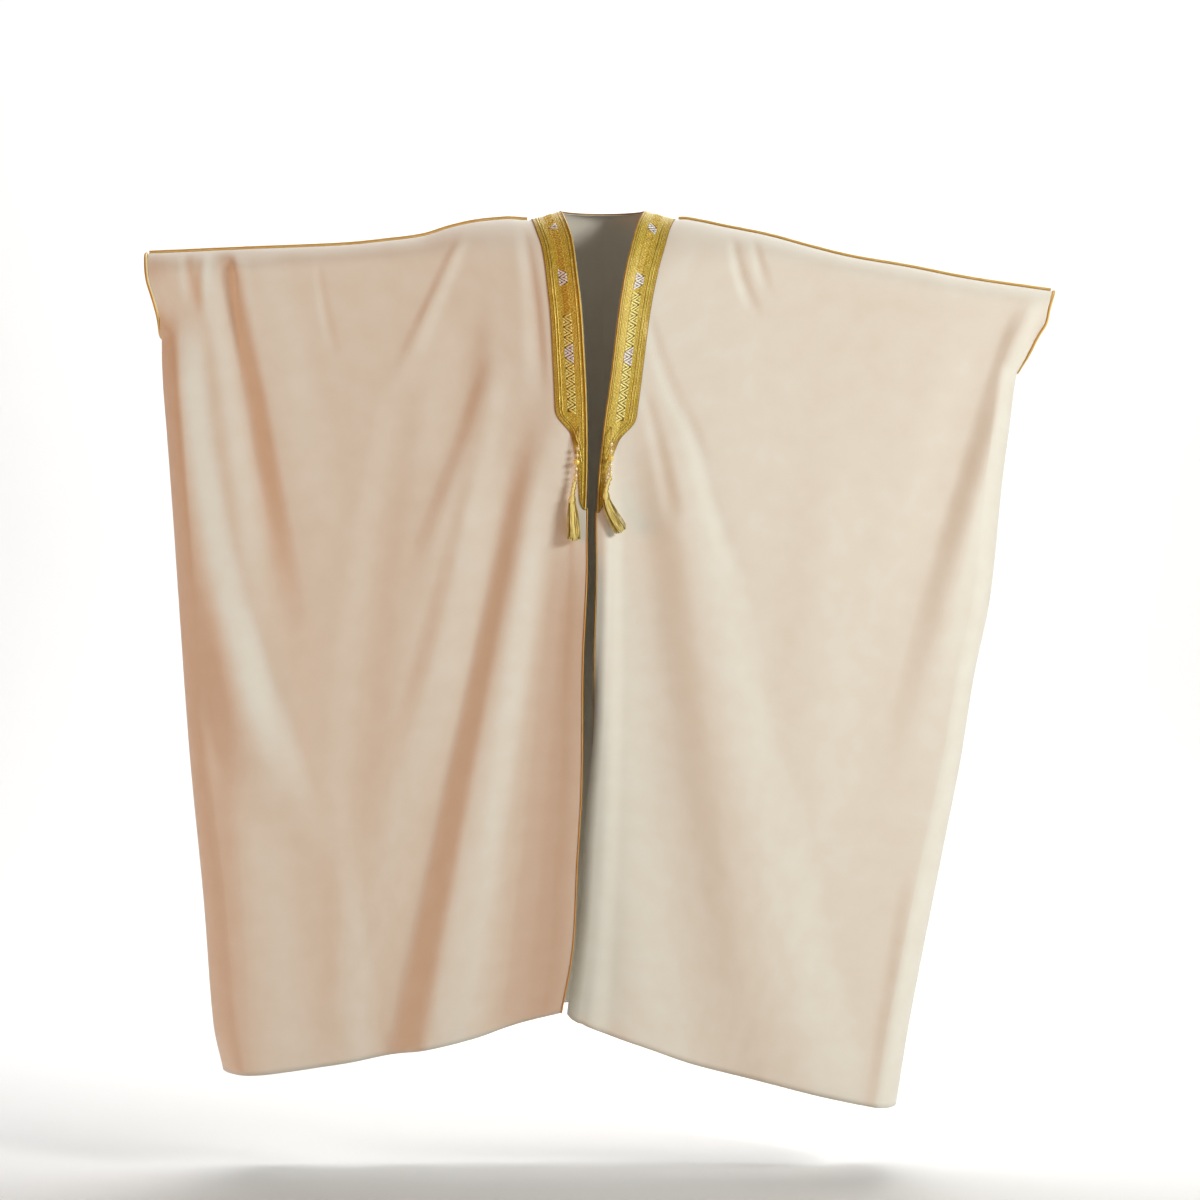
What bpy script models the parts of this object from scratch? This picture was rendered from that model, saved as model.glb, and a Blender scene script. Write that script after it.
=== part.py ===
"""An open cloak of cream crepe with gold trim, in the form it takes when it is worn
with both arms held out sideways.

It is cut as rectangles. Two fronts and a back are joined along the shoulders and the sides.
The top corners of the sides are left open for the hands, and the front is open from neck to hem.
A wide gold band runs round the neck and down both fronts, and ends in a narrow tail. Gold braid
covers the shoulder seams and the cuff openings, and thin gold piping edges the fronts below the
bands. A beaded string with a tassel hangs from the foot of each band.

The origin is on the shoulders at the middle of the neck. +X is the wearer's left, -Y the front,
+Z up. Sizes are in millimetres: out is away from the middle plane, drop is down from the
shoulders, and depth is forward of the arms on a front and behind them on the back.
"""

import math
from typing import NamedTuple

import bmesh
import bpy
from mathutils import Vector
from mathutils.bvhtree import BVHTree

MM = 0.001

# Cloth and trim
CLOTH_THICK = 1.5
SEAM_GAP = 0.3
BAND_LIFT = 0.9
BAND_THICK = 1.2
BAND_RIB = 0.7
BRAID_WIDTH = 5.5
PIPING_WIDTH = 2.8
STRING_WIDTH = 2.0
SMALL_BEAD = 6.6
LARGE_BEAD = 10.2
BEAD_BORE = STRING_WIDTH + 2 * SEAM_GAP

# The round of the arm and the depth of the cuff opening
ARM_FALL = 44.0
CUFF_DEPTH = 42.0
TYPICAL_DROP = 1350.0
HALF_WIDTH = 745.0
CHEST_SPAN = 650.0
SEAM_SPAN = 682.0
SIDE_ROUND = 0.055
NECK_OUT = 68.0
NAPE_DEPTH = 74.0
NAPE_DROP = -9.0

# The grid of the cloth: columns and rows, and the shares of them that turn over the shoulder,
# end the cuff opening, roll at the front edge and turn round the side
FRONT_COLUMNS = 24
BACK_HALF_COLUMNS = 19
ROWS = 22
TURN = 4 / ROWS
CUFF = 7 / ROWS
EDGE = 3 / FRONT_COLUMNS
SIDE = 20 / FRONT_COLUMNS
NECK = 3 / BACK_HALF_COLUMNS
BACK_SIDE = 15 / BACK_HALF_COLUMNS
EDGE_STRIP = 26.0
ROLL_RADIUS = 9.0
ROLL_ANGLE = math.radians(125)
LEAN = 0.08
FOLD_START = 0.55
STEP = 1e-4


class Place(NamedTuple):
    """A point of an outline seen from the front."""

    out: float
    drop: float


class Depth(NamedTuple):
    """How far the cloth stands off the plane of the arms, at a share of the way to the side."""

    across: float
    shoulder: float
    shoulder_fall: float
    waist: float
    hem: float


class Fold(NamedTuple):
    """A soft ridge, or a trough where rise is negative, from its top to its bottom."""

    rise: float
    spread: float
    top: float
    bottom: float
    out_top: float
    out_middle: float
    out_bottom: float
    fade_in: float
    fade_out: float
    steep: float = 0.0


class BandRow(NamedTuple):
    """The band's width at a drop."""

    drop: float
    width: float


class Swing(NamedTuple):
    """How a tassel hangs off the line of its string: its end aside, and its lean before that."""

    end: float
    lean: float


class Knot(NamedTuple):
    """The tassel's thickness at a distance below its ring."""

    below: float
    radius: float


class Smooth:
    """A smooth curve through rows of numbers, whose first number says where a row stands."""

    def __init__(self, rows):
        self.at = [row[0] for row in rows]
        self.values = [tuple(row[1:]) for row in rows]

    def slope(self, row):
        before = max(row - 1, 0)
        after = min(row + 1, len(self.at) - 1)
        run = self.at[after] - self.at[before]
        return [(b - a) / run for a, b in zip(self.values[before], self.values[after])]

    def __call__(self, at):
        last = len(self.at) - 2
        row = next((i for i in range(last) if at < self.at[i + 1]), last)
        run = self.at[row + 1] - self.at[row]
        t = min(max((at - self.at[row]) / run, 0.0), 1.0)
        weights = (
            (1 + 2 * t) * (1 - t) ** 2,
            t * (1 - t) ** 2 * run,
            t * t * (3 - 2 * t),
            t * t * (t - 1) * run,
        )
        columns = zip(self.values[row], self.slope(row), self.values[row + 1], self.slope(row + 1))
        return tuple(sum(w * value for w, value in zip(weights, column)) for column in columns)


def outline(places):
    """The smooth curve through places, found by the share of its length."""
    run = [0.0]
    for a, b in zip(places, places[1:]):
        run.append(run[-1] + math.dist(a, b))
    return Smooth([(r / run[-1], *place) for r, place in zip(run, places)])


class Half(NamedTuple):
    """One side of the cloak, with out measured towards that side."""

    side: int
    ridge: Smooth
    front_edge: Smooth
    side_line: Smooth
    front_hem: Smooth
    back_hem: Smooth
    cuff_share: float
    roll_from: float
    folds: tuple


RIGHT = Half(
    side=-1,
    ridge=outline([
        Place(68, -5), Place(117, 8), Place(158, 7), Place(210, 12), Place(251, 21),
        Place(297, 35), Place(356, 43), Place(427, 50), Place(594, 57), Place(750, 64),
    ]),
    front_edge=outline([
        Place(68, -5), Place(58, 20), Place(49, 49), Place(41, 108), Place(35, 158),
        Place(30, 235), Place(26, 320), Place(25, 410), Place(28, 520), Place(28, 600),
        Place(34, 740), Place(36, 930), Place(43, 1060), Place(50, 1190), Place(68, 1292),
    ]),
    side_line=outline([
        Place(750, 64), Place(744, 109), Place(733, 145), Place(727, 173), Place(728, 203),
        Place(726, 272), Place(719, 361), Place(709, 493), Place(700, 625), Place(681, 891),
        Place(658, 1130), Place(642, 1334), Place(626, 1406),
    ]),
    front_hem=outline([
        Place(68, 1292), Place(138, 1315), Place(207, 1341), Place(317, 1365),
        Place(413, 1385), Place(553, 1404), Place(626, 1406),
    ]),
    back_hem=outline([Place(0, 1310), Place(150, 1326), Place(380, 1372), Place(626, 1406)]),
    cuff_share=0.104,
    roll_from=2.0,
    folds=(
        Fold(30, 84, 150, 1080, 694, 636, 466, 120, 320, -0.1),
        Fold(-16, 58, 20, 780, 642, 570, 508, 50, 380),
        Fold(12, 75, 50, 700, 588, 530, 470, 60, 400, 0.4),
        Fold(14, 90, 600, 1560, 625, 580, 548, 200, 60, 0.2),
        Fold(-6, 75, 190, 1380, 300, 390, 400, 180, 500),
        Fold(-11, 90, 130, 520, 212, 232, 258, 120, 180, -0.3),
        Fold(9, 54, 220, 640, 170, 236, 310, 90, 180, 0.3),
        Fold(12, 70, 380, 1020, 190, 262, 345, 120, 300, 0.3),
        Fold(-20, 89, 270, 1480, 122, 247, 362, 240, 60, -0.4),
        Fold(16, 72, 260, 1480, 62, 194, 316, 200, 60, 0.13),
        Fold(-7, 56, 340, 1480, 84, 140, 206, 160, 60),
        Fold(56, 150, 450, 1480, -6, 12, 40, 220, 60),
        Fold(6, 60, 900, 1500, 440, 420, 410, 250, 60),
    ),
)

LEFT = Half(
    side=1,
    ridge=outline([
        Place(68, -5), Place(114, 7), Place(140, 8), Place(200, 20), Place(274, 35),
        Place(340, 53), Place(409, 70), Place(502, 86), Place(604, 106), Place(740, 126),
    ]),
    front_edge=outline([
        Place(68, -5), Place(57, 18), Place(48, 48), Place(37, 94), Place(26, 158),
        Place(12, 273), Place(0, 362), Place(-9, 460), Place(-10, 610), Place(-13, 713),
        Place(-16, 830), Place(-30, 1002), Place(-38, 1140), Place(-58, 1290),
    ]),
    side_line=outline([
        Place(740, 126), Place(729, 155), Place(722, 182), Place(708, 205), Place(694, 235),
        Place(682, 263), Place(670, 350), Place(658, 441), Place(638, 630), Place(612, 756),
        Place(589, 899), Place(563, 1031), Place(507, 1318), Place(483, 1464),
    ]),
    front_hem=outline([
        Place(-58, 1290), Place(-44, 1309), Place(2, 1331), Place(71, 1357), Place(148, 1386),
        Place(275, 1418), Place(412, 1453), Place(483, 1464),
    ]),
    back_hem=outline([Place(0, 1310), Place(120, 1338), Place(300, 1412), Place(483, 1464)]),
    cuff_share=0.107,
    roll_from=0.52,
    folds=(
        Fold(9, 40, 400, 1480, 6, 0, -40, 120, 60),
        Fold(-16, 120, 330, 1480, 42, 92, 165, 160, 60),
        Fold(15, 125, 280, 1480, 92, 209, 342, 160, 60),
        Fold(-5, 110, 160, 1120, 640, 500, 380, 90, 700),
        Fold(22, 64, 140, 1040, 706, 574, 466, 70, 760),
        Fold(9, 45, 1000, 1600, 520, 478, 440, 200, 60),
        Fold(5, 110, 300, 1250, 380, 340, 330, 250, 300),
        Fold(-7, 40, 150, 420, 700, 660, 610, 60, 160),
    ),
)

FRONT_DEPTHS = Smooth([
    Depth(0.00, 98, 170, 128, 138),
    Depth(0.10, 88, 120, 127, 135),
    Depth(0.25, 64, 66, 118, 128),
    Depth(0.45, 47, 46, 98, 114),
    Depth(0.70, 44, ARM_FALL, 78, 94),
    Depth(1.00, 42, ARM_FALL, 62, 72),
])
BACK_DEPTHS = Smooth([
    Depth(0.00, 122, 92, 128, 134),
    Depth(0.10, 114, 92, 126, 131),
    Depth(0.25, 78, 66, 114, 122),
    Depth(0.45, 50, 46, 94, 106),
    Depth(0.70, 44, ARM_FALL, 76, 90),
    Depth(1.00, 42, ARM_FALL, 60, 70),
])

# On the back, out is measured to the wearer's left all the way across
BACK_FOLDS = (
    Fold(14, 60, 160, 1500, -690, -600, -500, 120, 60),
    Fold(-16, 60, 60, 1500, -560, -500, -400, 90, 60),
    Fold(16, 70, 150, 1480, -400, -350, -300, 160, 60),
    Fold(-18, 65, 260, 1480, -210, -250, -215, 160, 60),
    Fold(15, 60, 240, 1480, -110, -130, -120, 160, 60),
    Fold(-14, 60, 300, 1480, 6, -20, -30, 200, 60),
    Fold(17, 64, 260, 1480, 90, 80, 62, 160, 60),
    Fold(-17, 60, 220, 1480, 170, 190, 150, 160, 60),
    Fold(15, 70, 180, 1480, 290, 290, 240, 160, 60),
    Fold(-15, 70, 120, 1500, 440, 390, 330, 120, 60),
    Fold(16, 66, 150, 1500, 640, 520, 410, 120, 60),
)

BAND_WIDTH = 52.0
BAND_ROWS = {
    -1: (
        BandRow(343, BAND_WIDTH), BandRow(352, 50.5), BandRow(359, 46), BandRow(366, 37.5),
        BandRow(373, 29.5), BandRow(381, 26), BandRow(401, 20.7), BandRow(426, 16.4),
        BandRow(455, 13.8), BandRow(480, 11), BandRow(491, 5),
    ),
    1: (
        BandRow(355, BAND_WIDTH), BandRow(364, 49.5), BandRow(370, 44), BandRow(376, 36.5),
        BandRow(382, 30.5), BandRow(390, 27), BandRow(406, 22), BandRow(426, 17),
        BandRow(452, 13.6), BandRow(483, 11), BandRow(495, 4.5),
    ),
}
BAND_COLUMNS = 8
BAND_NECK_STEPS = 18

# Where each string leaves its band, and how its tassel swings aside
STRING_EXIT = {-1: Place(38, 356), 1: Place(13.5, 356)}
STRING_FOOT = {-1: Place(45, 444), 1: Place(11.5, 438)}
TASSEL_SWING = {-1: Swing(-2.0, 8.0), 1: Swing(20.0, 13.0)}
BEAD_PITCH = 11.0
RING_FROM_END = 2.5
LAST_BEAD_FROM_RING = 6.4
BEADS = (SMALL_BEAD, SMALL_BEAD, LARGE_BEAD, SMALL_BEAD, SMALL_BEAD)
RING_WIDE = 7.6
RING_TALL = 3.2
KNOTS = (
    Knot(0, 2.2), Knot(3, 3.6), Knot(7, 2.1), Knot(11, 3.7), Knot(15, 2.1), Knot(19, 3.4),
    Knot(22, 2.5), Knot(26, 4.5), Knot(31, 5.0), Knot(35, 4.2),
)
SKIRT_TOP = 30.0
SKIRT_LENGTH = {-1: 67.0, 1: 59.0}
SKIRT_ROOT = 3.3
SKIRT_HALF_WIDTH = 11.5
SKIRT_HALF_DEPTH = 6.0
SKIRT_RINGS = (6, 12, 18)
STRAND_ROOT = 0.42
STRAND_TIP = 0.95

CREAM = ("cream_crepe", (0.78, 0.70, 0.58), 0.75, 0.0)
ZARI = ("gold_zari", (0.55, 0.37, 0.05), 0.42, 0.8)
BRAID = ("gold_braid", (0.60, 0.38, 0.08), 0.40, 0.8)
SILK = ("gold_silk", (0.62, 0.48, 0.12), 0.45, 0.3)
BEAD_PALE = ("pale_bead", (0.75, 0.65, 0.50), 0.25, 0.2)
BEAD_GOLD = ("gold_bead", (0.72, 0.45, 0.06), 0.25, 0.9)


def smoothstep(t):
    t = min(max(t, 0.0), 1.0)
    return t * t * (3 - 2 * t)


def mix(a, b, share):
    return a + (b - a) * share


def coons(top, bottom, near, far, across, fall):
    """The point inside four boundary curves, at a share across and a share of the fall."""
    point = []
    for i in (0, 1):
        sides = mix(near(fall)[i], far(fall)[i], across)
        sides += mix(top(across)[i], bottom(across)[i], fall)
        corners = mix(
            mix(top(0)[i], top(1)[i], across),
            mix(bottom(0)[i], bottom(1)[i], across),
            fall,
        )
        point.append(sides - corners)
    return point


def share_down(half, down, shoulder_fall):
    """The share of the fall at a row: rows turn over the shoulder first, and then run to the hem."""
    turn = shoulder_fall / TYPICAL_DROP
    if down < TURN:
        return turn * (1 - math.cos(math.pi / 2 * down / TURN))
    arm_turn = ARM_FALL / TYPICAL_DROP
    seam = (half.cuff_share - arm_turn) / (1 - arm_turn)
    if down < CUFF:
        below = seam * (down - TURN) / (CUFF - TURN)
    else:
        below = mix(seam, 1, (down - CUFF) / (1 - CUFF))
    return mix(turn, 1, below)


def share_across(across, start, start_share, side, closing):
    """The share of the width at a column. The last columns turn round to the side seam."""
    if across < start:
        return start_share * across / start
    if across < side:
        return mix(start_share, 1 - SIDE_ROUND, (across - start) / (side - start))
    along = (across - side) / (1 - side)
    turned = 1 - SIDE_ROUND * (1 - math.cos(math.pi / 2 * (1 - along)))
    return mix(mix(1 - SIDE_ROUND, 1, along), turned, closing)


def leaning(share, fall):
    """The share again, with the columns below the bands leaning together as the folds do."""
    return share + LEAN * smoothstep((fall - 0.36) / 0.64) * math.sin(math.tau * share)


def fold_height(folds, out, drop):
    """How far all folds together lift the cloth at a place."""
    height = 0.0
    for fold in folds:
        if not fold.top < drop < fold.bottom:
            continue
        t = (drop - fold.top) / (fold.bottom - fold.top)
        middle = (
            fold.out_top * (1 - t) * (1 - 2 * t)
            + fold.out_middle * 4 * t * (1 - t)
            + fold.out_bottom * t * (2 * t - 1)
        )
        grown = mix(FOLD_START, 1, t)
        off = (out - middle) / (fold.spread * grown)
        off = abs(off * (1 + math.copysign(fold.steep, off)))
        if off >= 1:
            continue
        ends = smoothstep((drop - fold.top) / fold.fade_in)
        ends *= smoothstep((fold.bottom - drop) / fold.fade_out)
        height += fold.rise * grown * ends * math.cos(math.pi / 2 * off) ** 2
    return height


def stand_off(half, depths, across, down, fall, side):
    """The depth without folds, and how much of a fold's height shows here."""
    shoulder, _, waist, hem = depths(across)
    depth = mix(shoulder, waist, smoothstep((fall - 0.03) / 0.4))
    depth = mix(depth, hem, smoothstep((fall - 0.35) / 0.65))
    over = math.sin(math.pi / 2 * min(1.0, down / TURN))
    closed = math.sin(math.pi / 2 * min(1.0, (1 - across) / (1 - side)))
    cuff_way = share_down(half, down, ARM_FALL) / half.cuff_share
    opening = CUFF_DEPTH * 2 * math.sqrt(cuff_way * (1 - cuff_way)) if cuff_way < 1 else 0.0
    return depth, over, closed, opening


def closing_at(half, down):
    """0 at the top of the cuff opening, 1 from its foot down, where the seam turns the cloth."""
    cuff_way = share_down(half, down, ARM_FALL) / half.cuff_share
    return smoothstep((cuff_way - 0.35) / 0.6)


def front_point(half, across, down):
    """A point on the outside of a front, at a share across it and a share down its rows."""
    share = share_across(across, EDGE, EDGE_STRIP / CHEST_SPAN, SIDE, closing_at(half, down))
    fall = share_down(half, down, FRONT_DEPTHS(share)[1])
    share = leaning(share, fall)
    out, drop = coons(half.ridge, half.front_hem, half.front_edge, half.side_line, share, fall)
    depth, over, closed, opening = stand_off(half, FRONT_DEPTHS, across, down, fall, SIDE)
    depth = depth * over + fold_height(half.folds, out, drop) * over * closed
    depth = mix(opening, depth, closed)
    rolled = smoothstep((fall - half.roll_from) / 0.22)
    if rolled and across < EDGE:
        angle = ROLL_ANGLE * (1 - across / EDGE)
        curled = half.front_edge(fall)[0] + ROLL_RADIUS * (1 - math.sin(angle))
        strip = across / EDGE * (EDGE_STRIP - ROLL_RADIUS)
        out = mix(out, curled + max(0.0, strip - (EDGE_STRIP - ROLL_RADIUS) * 0.35), rolled)
        depth -= rolled * ROLL_RADIUS * (1 - math.cos(angle))
    return Vector((half.side * out, -depth - SEAM_GAP / 2, -drop))


def back_point(across, down):
    """A point on the outside of the back. Across runs from -1 at the right side to 1 at the left."""
    half = LEFT if across > 0 else RIGHT
    column = abs(across)
    share = share_across(column, NECK, NECK_OUT / HALF_WIDTH, BACK_SIDE, closing_at(half, down))
    fall = share_down(half, down, BACK_DEPTHS(share)[1])
    share = leaning(share, fall)
    around = min(1.0, column / NECK)
    nape = math.cos(math.pi / 2 * around)

    def top(along):
        reach = along * HALF_WIDTH
        if reach >= NECK_OUT:
            return half.ridge((reach - NECK_OUT) / (HALF_WIDTH - NECK_OUT))
        angle = math.pi / 2 * reach / NECK_OUT
        return NECK_OUT * math.sin(angle), mix(half.ridge(0)[1], NAPE_DROP, math.cos(angle))

    def centre(way):
        return 0.0, mix(NAPE_DROP, half.back_hem(0)[1], way)

    out, drop = coons(top, half.back_hem, centre, half.side_line, share, fall)
    depth, over, closed, opening = stand_off(half, BACK_DEPTHS, column, down, fall, BACK_SIDE)
    out += NECK_OUT * (around - math.sin(math.pi / 2 * around)) * over * (1 - fall)
    signed = half.side * out
    depth = mix(NAPE_DEPTH * nape, depth, over)
    depth += fold_height(BACK_FOLDS, signed, drop) * over * closed
    depth = mix(opening, depth, closed)
    return Vector((signed, depth + SEAM_GAP / 2, -drop))


def placed(point_at, low, outward):
    """A function that gives a point of a surface and its normal, on the side that outward names."""

    def place(across, down):
        left = point_at(max(across - STEP, low), down)
        right = point_at(min(across + STEP, 1.0), down)
        above = point_at(across, max(down - STEP, 0.0))
        below = point_at(across, min(down + STEP, 1.0))
        normal = (right - left).cross(below - above) * outward
        return point_at(across, down), normal.normalized()

    return place


def front_place(half):
    return placed(lambda across, down: front_point(half, across, down), 0.0, -half.side)


def back_place():
    return placed(back_point, -1.0, 1)


def wall(columns, rows, place, outer, inner):
    """A closed wall over a grid. Place gives a point and normal, outer and inner the heights.

    Each face is split along the diagonal that lies nearer to the true surface.
    """
    mesh = bmesh.new()
    bmesh.ops.create_grid(mesh, x_segments=columns, y_segments=rows, size=0.5)
    across = mesh.verts.layers.float.new("across")
    down = mesh.verts.layers.float.new("down")
    for vert in mesh.verts:
        vert[across] = round((vert.co.x + 0.5) * columns) / columns
        vert[down] = round((0.5 - vert.co.y) * rows) / rows
    grown = bmesh.ops.extrude_face_region(mesh, geom=mesh.faces[:])["geom"]
    lifted = {part for part in grown if isinstance(part, bmesh.types.BMVert)}
    middles = {}
    for face in mesh.faces:
        if len({vert in lifted for vert in face.verts}) > 1:
            continue
        centre = [sum(vert[layer] for vert in face.verts) / 4 for layer in (across, down)]
        point, normal = place(*centre)
        height = outer(*centre) if face.verts[0] in lifted else inner
        middles[face] = (point + normal * height) * MM
    for vert in mesh.verts:
        point, normal = place(vert[across], vert[down])
        height = outer(vert[across], vert[down]) if vert in lifted else inner
        vert.co = (point + normal * height) * MM
    for face, middle in middles.items():
        a, b, c, d = face.verts
        near_ac = ((a.co + c.co) / 2 - middle).length
        near_bd = ((b.co + d.co) / 2 - middle).length
        bmesh.utils.face_split(face, *((a, c) if near_ac < near_bd else (b, d)))
    bmesh.ops.triangulate(mesh, faces=mesh.faces[:])
    bmesh.ops.recalc_face_normals(mesh, faces=mesh.faces[:])
    return mesh


def material(name, colour, roughness, metallic):
    made = bpy.data.materials.get(name)
    if made:
        return made
    made = bpy.data.materials.new(name)
    made.use_nodes = True
    shader = made.node_tree.nodes["Principled BSDF"]
    shader.inputs["Base Color"].default_value = (*colour, 1.0)
    shader.inputs["Roughness"].default_value = roughness
    shader.inputs["Metallic"].default_value = metallic
    return made


def add_object(name, data, finish, collection):
    """An object for a finished mesh or curve."""
    made = bpy.data.objects.new(name, data)
    data.materials.append(material(*finish))
    collection.objects.link(made)
    return made


def add_mesh(name, mesh, finish, collection):
    """An object for a finished bmesh, shaded smooth but for its rims."""
    data = bpy.data.meshes.new(name)
    mesh.to_mesh(data)
    mesh.free()
    data.shade_smooth()
    data.set_sharp_from_angle(angle=math.radians(50))
    return add_object(name, data, finish, collection)


def laid_on(surface, place, columns, rows):
    """Place again, raised where the faces of a surface stand proud of it within half a cell."""
    above = 8.0

    def proud(across, down):
        point, normal = place(across, down)
        hit = surface.ray_cast((point + normal * above) * MM, -normal, above * MM)[0]
        return (hit / MM - point).dot(normal) if hit else 0.0

    def lay(across, down):
        point, normal = place(across, down)
        nearby = [
            (min(max(across + i / 2 / columns, 0.0), 1.0), min(max(down + j / 2 / rows, 0.0), 1.0))
            for i in (-1, 0, 1)
            for j in (-1, 0, 1)
        ]
        return point + normal * max(0.0, *(proud(*near) for near in nearby)), normal

    return lay


def row_at_drop(half, drop):
    """The share down the rows at which a front's edge has come down by drop."""
    low, high = 0.0, 1.0
    for _ in range(30):
        middle = (low + high) / 2
        if -front_point(half, 0.0, middle).z < drop:
            low = middle
        else:
            high = middle
    return low


def column_at(inwards, width):
    """The share across the columns of a front, a distance in from its edge."""
    share = inwards / width
    strip = EDGE_STRIP / CHEST_SPAN
    if share < strip:
        return share / strip * EDGE
    return EDGE + (share - strip) / (1 - SIDE_ROUND - strip) * (SIDE - EDGE)


def band_height(across, _down):
    """The band's outer face: a raised cord near each edge."""
    cord = min(abs(across - 1 / BAND_COLUMNS), abs(across - 1 + 1 / BAND_COLUMNS)) * BAND_COLUMNS
    return BAND_LIFT + BAND_THICK + BAND_RIB * max(0.0, 1 - 2 * cord)


def band(half, name, surface, collection):
    """The gold band down a front, with its rounded corner and its narrow tail."""
    rows = BAND_ROWS[half.side]
    widths = Smooth([(row_at_drop(half, row.drop), row.width) for row in rows])
    straight = widths.at[0]
    count = int(straight * ROWS * 2)
    downs = [i / ROWS / 2 for i in range(count + 1)] + widths.at
    place = front_place(half)

    def on_band(across, along):
        row = along * (len(downs) - 1)
        before = min(int(row), len(downs) - 2)
        down = mix(downs[before], downs[before + 1], row - before)
        width = widths(max(down, straight))[0]
        span = half.side_line(down)[0] - half.front_edge(down)[0]
        return place(column_at(width * across, span), down)

    count = len(downs) - 1
    on_front = laid_on(surface, on_band, BAND_COLUMNS, count)
    mesh = wall(BAND_COLUMNS, count, on_front, band_height, BAND_LIFT)
    found = BVHTree.FromBMesh(mesh)
    add_mesh(name, mesh, ZARI, collection)
    return found


def column_near_neck(out, down):
    """The share across the back's columns of a place near the neck, by how far out it is."""
    if out >= NECK_OUT:
        span = (out - NECK_OUT) / (HALF_WIDTH * (1 - SIDE_ROUND) - NECK_OUT)
        return NECK + span * (BACK_SIDE - NECK)
    over = math.sin(math.pi / 2 * min(1.0, down / TURN))
    low, high = 0.0, 1.0
    for _ in range(12):
        middle = (low + high) / 2
        if NECK_OUT * mix(math.sin(math.pi / 2 * middle), middle, over) < out:
            low = middle
        else:
            high = middle
    return low * NECK


def band_neck(surface, collection):
    """The gold band round the back of the neck, from one shoulder seam to the other."""
    place = back_place()

    def on_band(across, along):
        angle = math.pi * (along - 0.5)
        swing = abs(math.sin(angle))
        out = mix(NECK_OUT * swing, (NECK_OUT + BAND_WIDTH) * swing, across)
        rise, fall = BACK_DEPTHS(0.05)[:2]
        reach = rise - NAPE_DEPTH * math.cos(angle)
        turn_length = math.pi / 2 * math.sqrt((reach**2 + fall**2) / 2)
        down = max(0.0, TURN * across * BAND_WIDTH * math.cos(angle) / turn_length)
        return place(math.copysign(column_near_neck(out, down), angle), down)

    on_back = laid_on(surface, on_band, BAND_COLUMNS, BAND_NECK_STEPS)
    mesh = wall(BAND_COLUMNS, BAND_NECK_STEPS, on_back, band_height, BAND_LIFT)
    add_mesh("band_neck", mesh, ZARI, collection)


def tube(name, points, width, finish, collection, closed=False, resolution=1):
    """A round braid or string along points, given in millimetres."""
    curve = bpy.data.curves.new(name, "CURVE")
    curve.dimensions = "3D"
    curve.bevel_depth = width / 2 * MM
    curve.bevel_resolution = resolution
    curve.use_fill_caps = not closed
    spline = curve.splines.new("POLY")
    spline.points.add(len(points) - 1)
    for knot, point in zip(spline.points, points):
        knot.co = (*(point * MM), 1.0)
    spline.use_cyclic_u = closed
    return add_object(name, curve, finish, collection)


def shoulder_braid(half, name, collection):
    """The braid on the seam over a shoulder and an arm, from the band to the cuff."""
    place = front_place(half)
    first = column_at(BAND_WIDTH + 6, SEAM_SPAN)
    steps = 22
    points = []
    for i in range(steps + 1):
        point, normal = place(mix(first, 0.992, i / steps), 0.0)
        point.y = 0.0
        points.append(point + normal * (BRAID_WIDTH / 2 + SEAM_GAP * 3))
    tube(name, points, BRAID_WIDTH, BRAID, collection)


def cuff_braid(half, name, collection):
    """The braid round a cuff opening, down its front edge and up its back edge."""
    inner = 0.5 / FRONT_COLUMNS
    downs = [i / ROWS for i in range(round(CUFF * ROWS) + 1)]
    front = [(front_point(half, 1.0, down), front_point(half, 1.0 - inner, down)) for down in downs]
    back = [
        (back_point(half.side, down), back_point(half.side * (1 - inner), down))
        for down in downs[1:-1]
    ]
    front[-1] = (front[-1][0], front[-1][0] - Vector((half.side, 0, 0)))
    ring = [
        edge + (edge - inside).normalized() * (BRAID_WIDTH / 2 + SEAM_GAP * 2)
        for edge, inside in [*front, *reversed(back)]
    ]
    tube(name, ring, BRAID_WIDTH, BRAID, collection, closed=True)


def piping(half, name, collection):
    """The thin piping on the edge of a front, from the band's tail to the hem."""
    first = row_at_drop(half, BAND_ROWS[half.side][-1].drop + 4)
    downs = [first] + [i / ROWS for i in range(ROWS + 1) if i / ROWS > first + 0.01]
    place = front_place(half)
    points = []
    for down in downs:
        point, normal = place(0.0, down)
        above = front_point(half, 0.0, down - STEP)
        below = front_point(half, 0.0, min(1.0, down + STEP))
        away = (below - above).cross(normal).normalized() * half.side
        points.append(point + away * (PIPING_WIDTH / 2 + SEAM_GAP * 2) - normal * CLOTH_THICK / 2)
    tube(name, points, PIPING_WIDTH, BRAID, collection)


def forward_of(surfaces, out, drop):
    """How far forward the foremost of some surfaces stands at a place seen from the front."""
    start = Vector((out, -400, -drop)) * MM
    hits = [surface.ray_cast(start, Vector((0, 1, 0)))[0] for surface in surfaces]
    return min((hit.y / MM for hit in hits if hit), default=0.0)


def tassel_aside(half, share):
    """How far aside of its string a tassel's middle is, at a share of its length."""
    swing = TASSEL_SWING[half.side]
    return swing.end * share**3 - swing.lean * math.sin(math.pi * share) * (1 - share)


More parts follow.
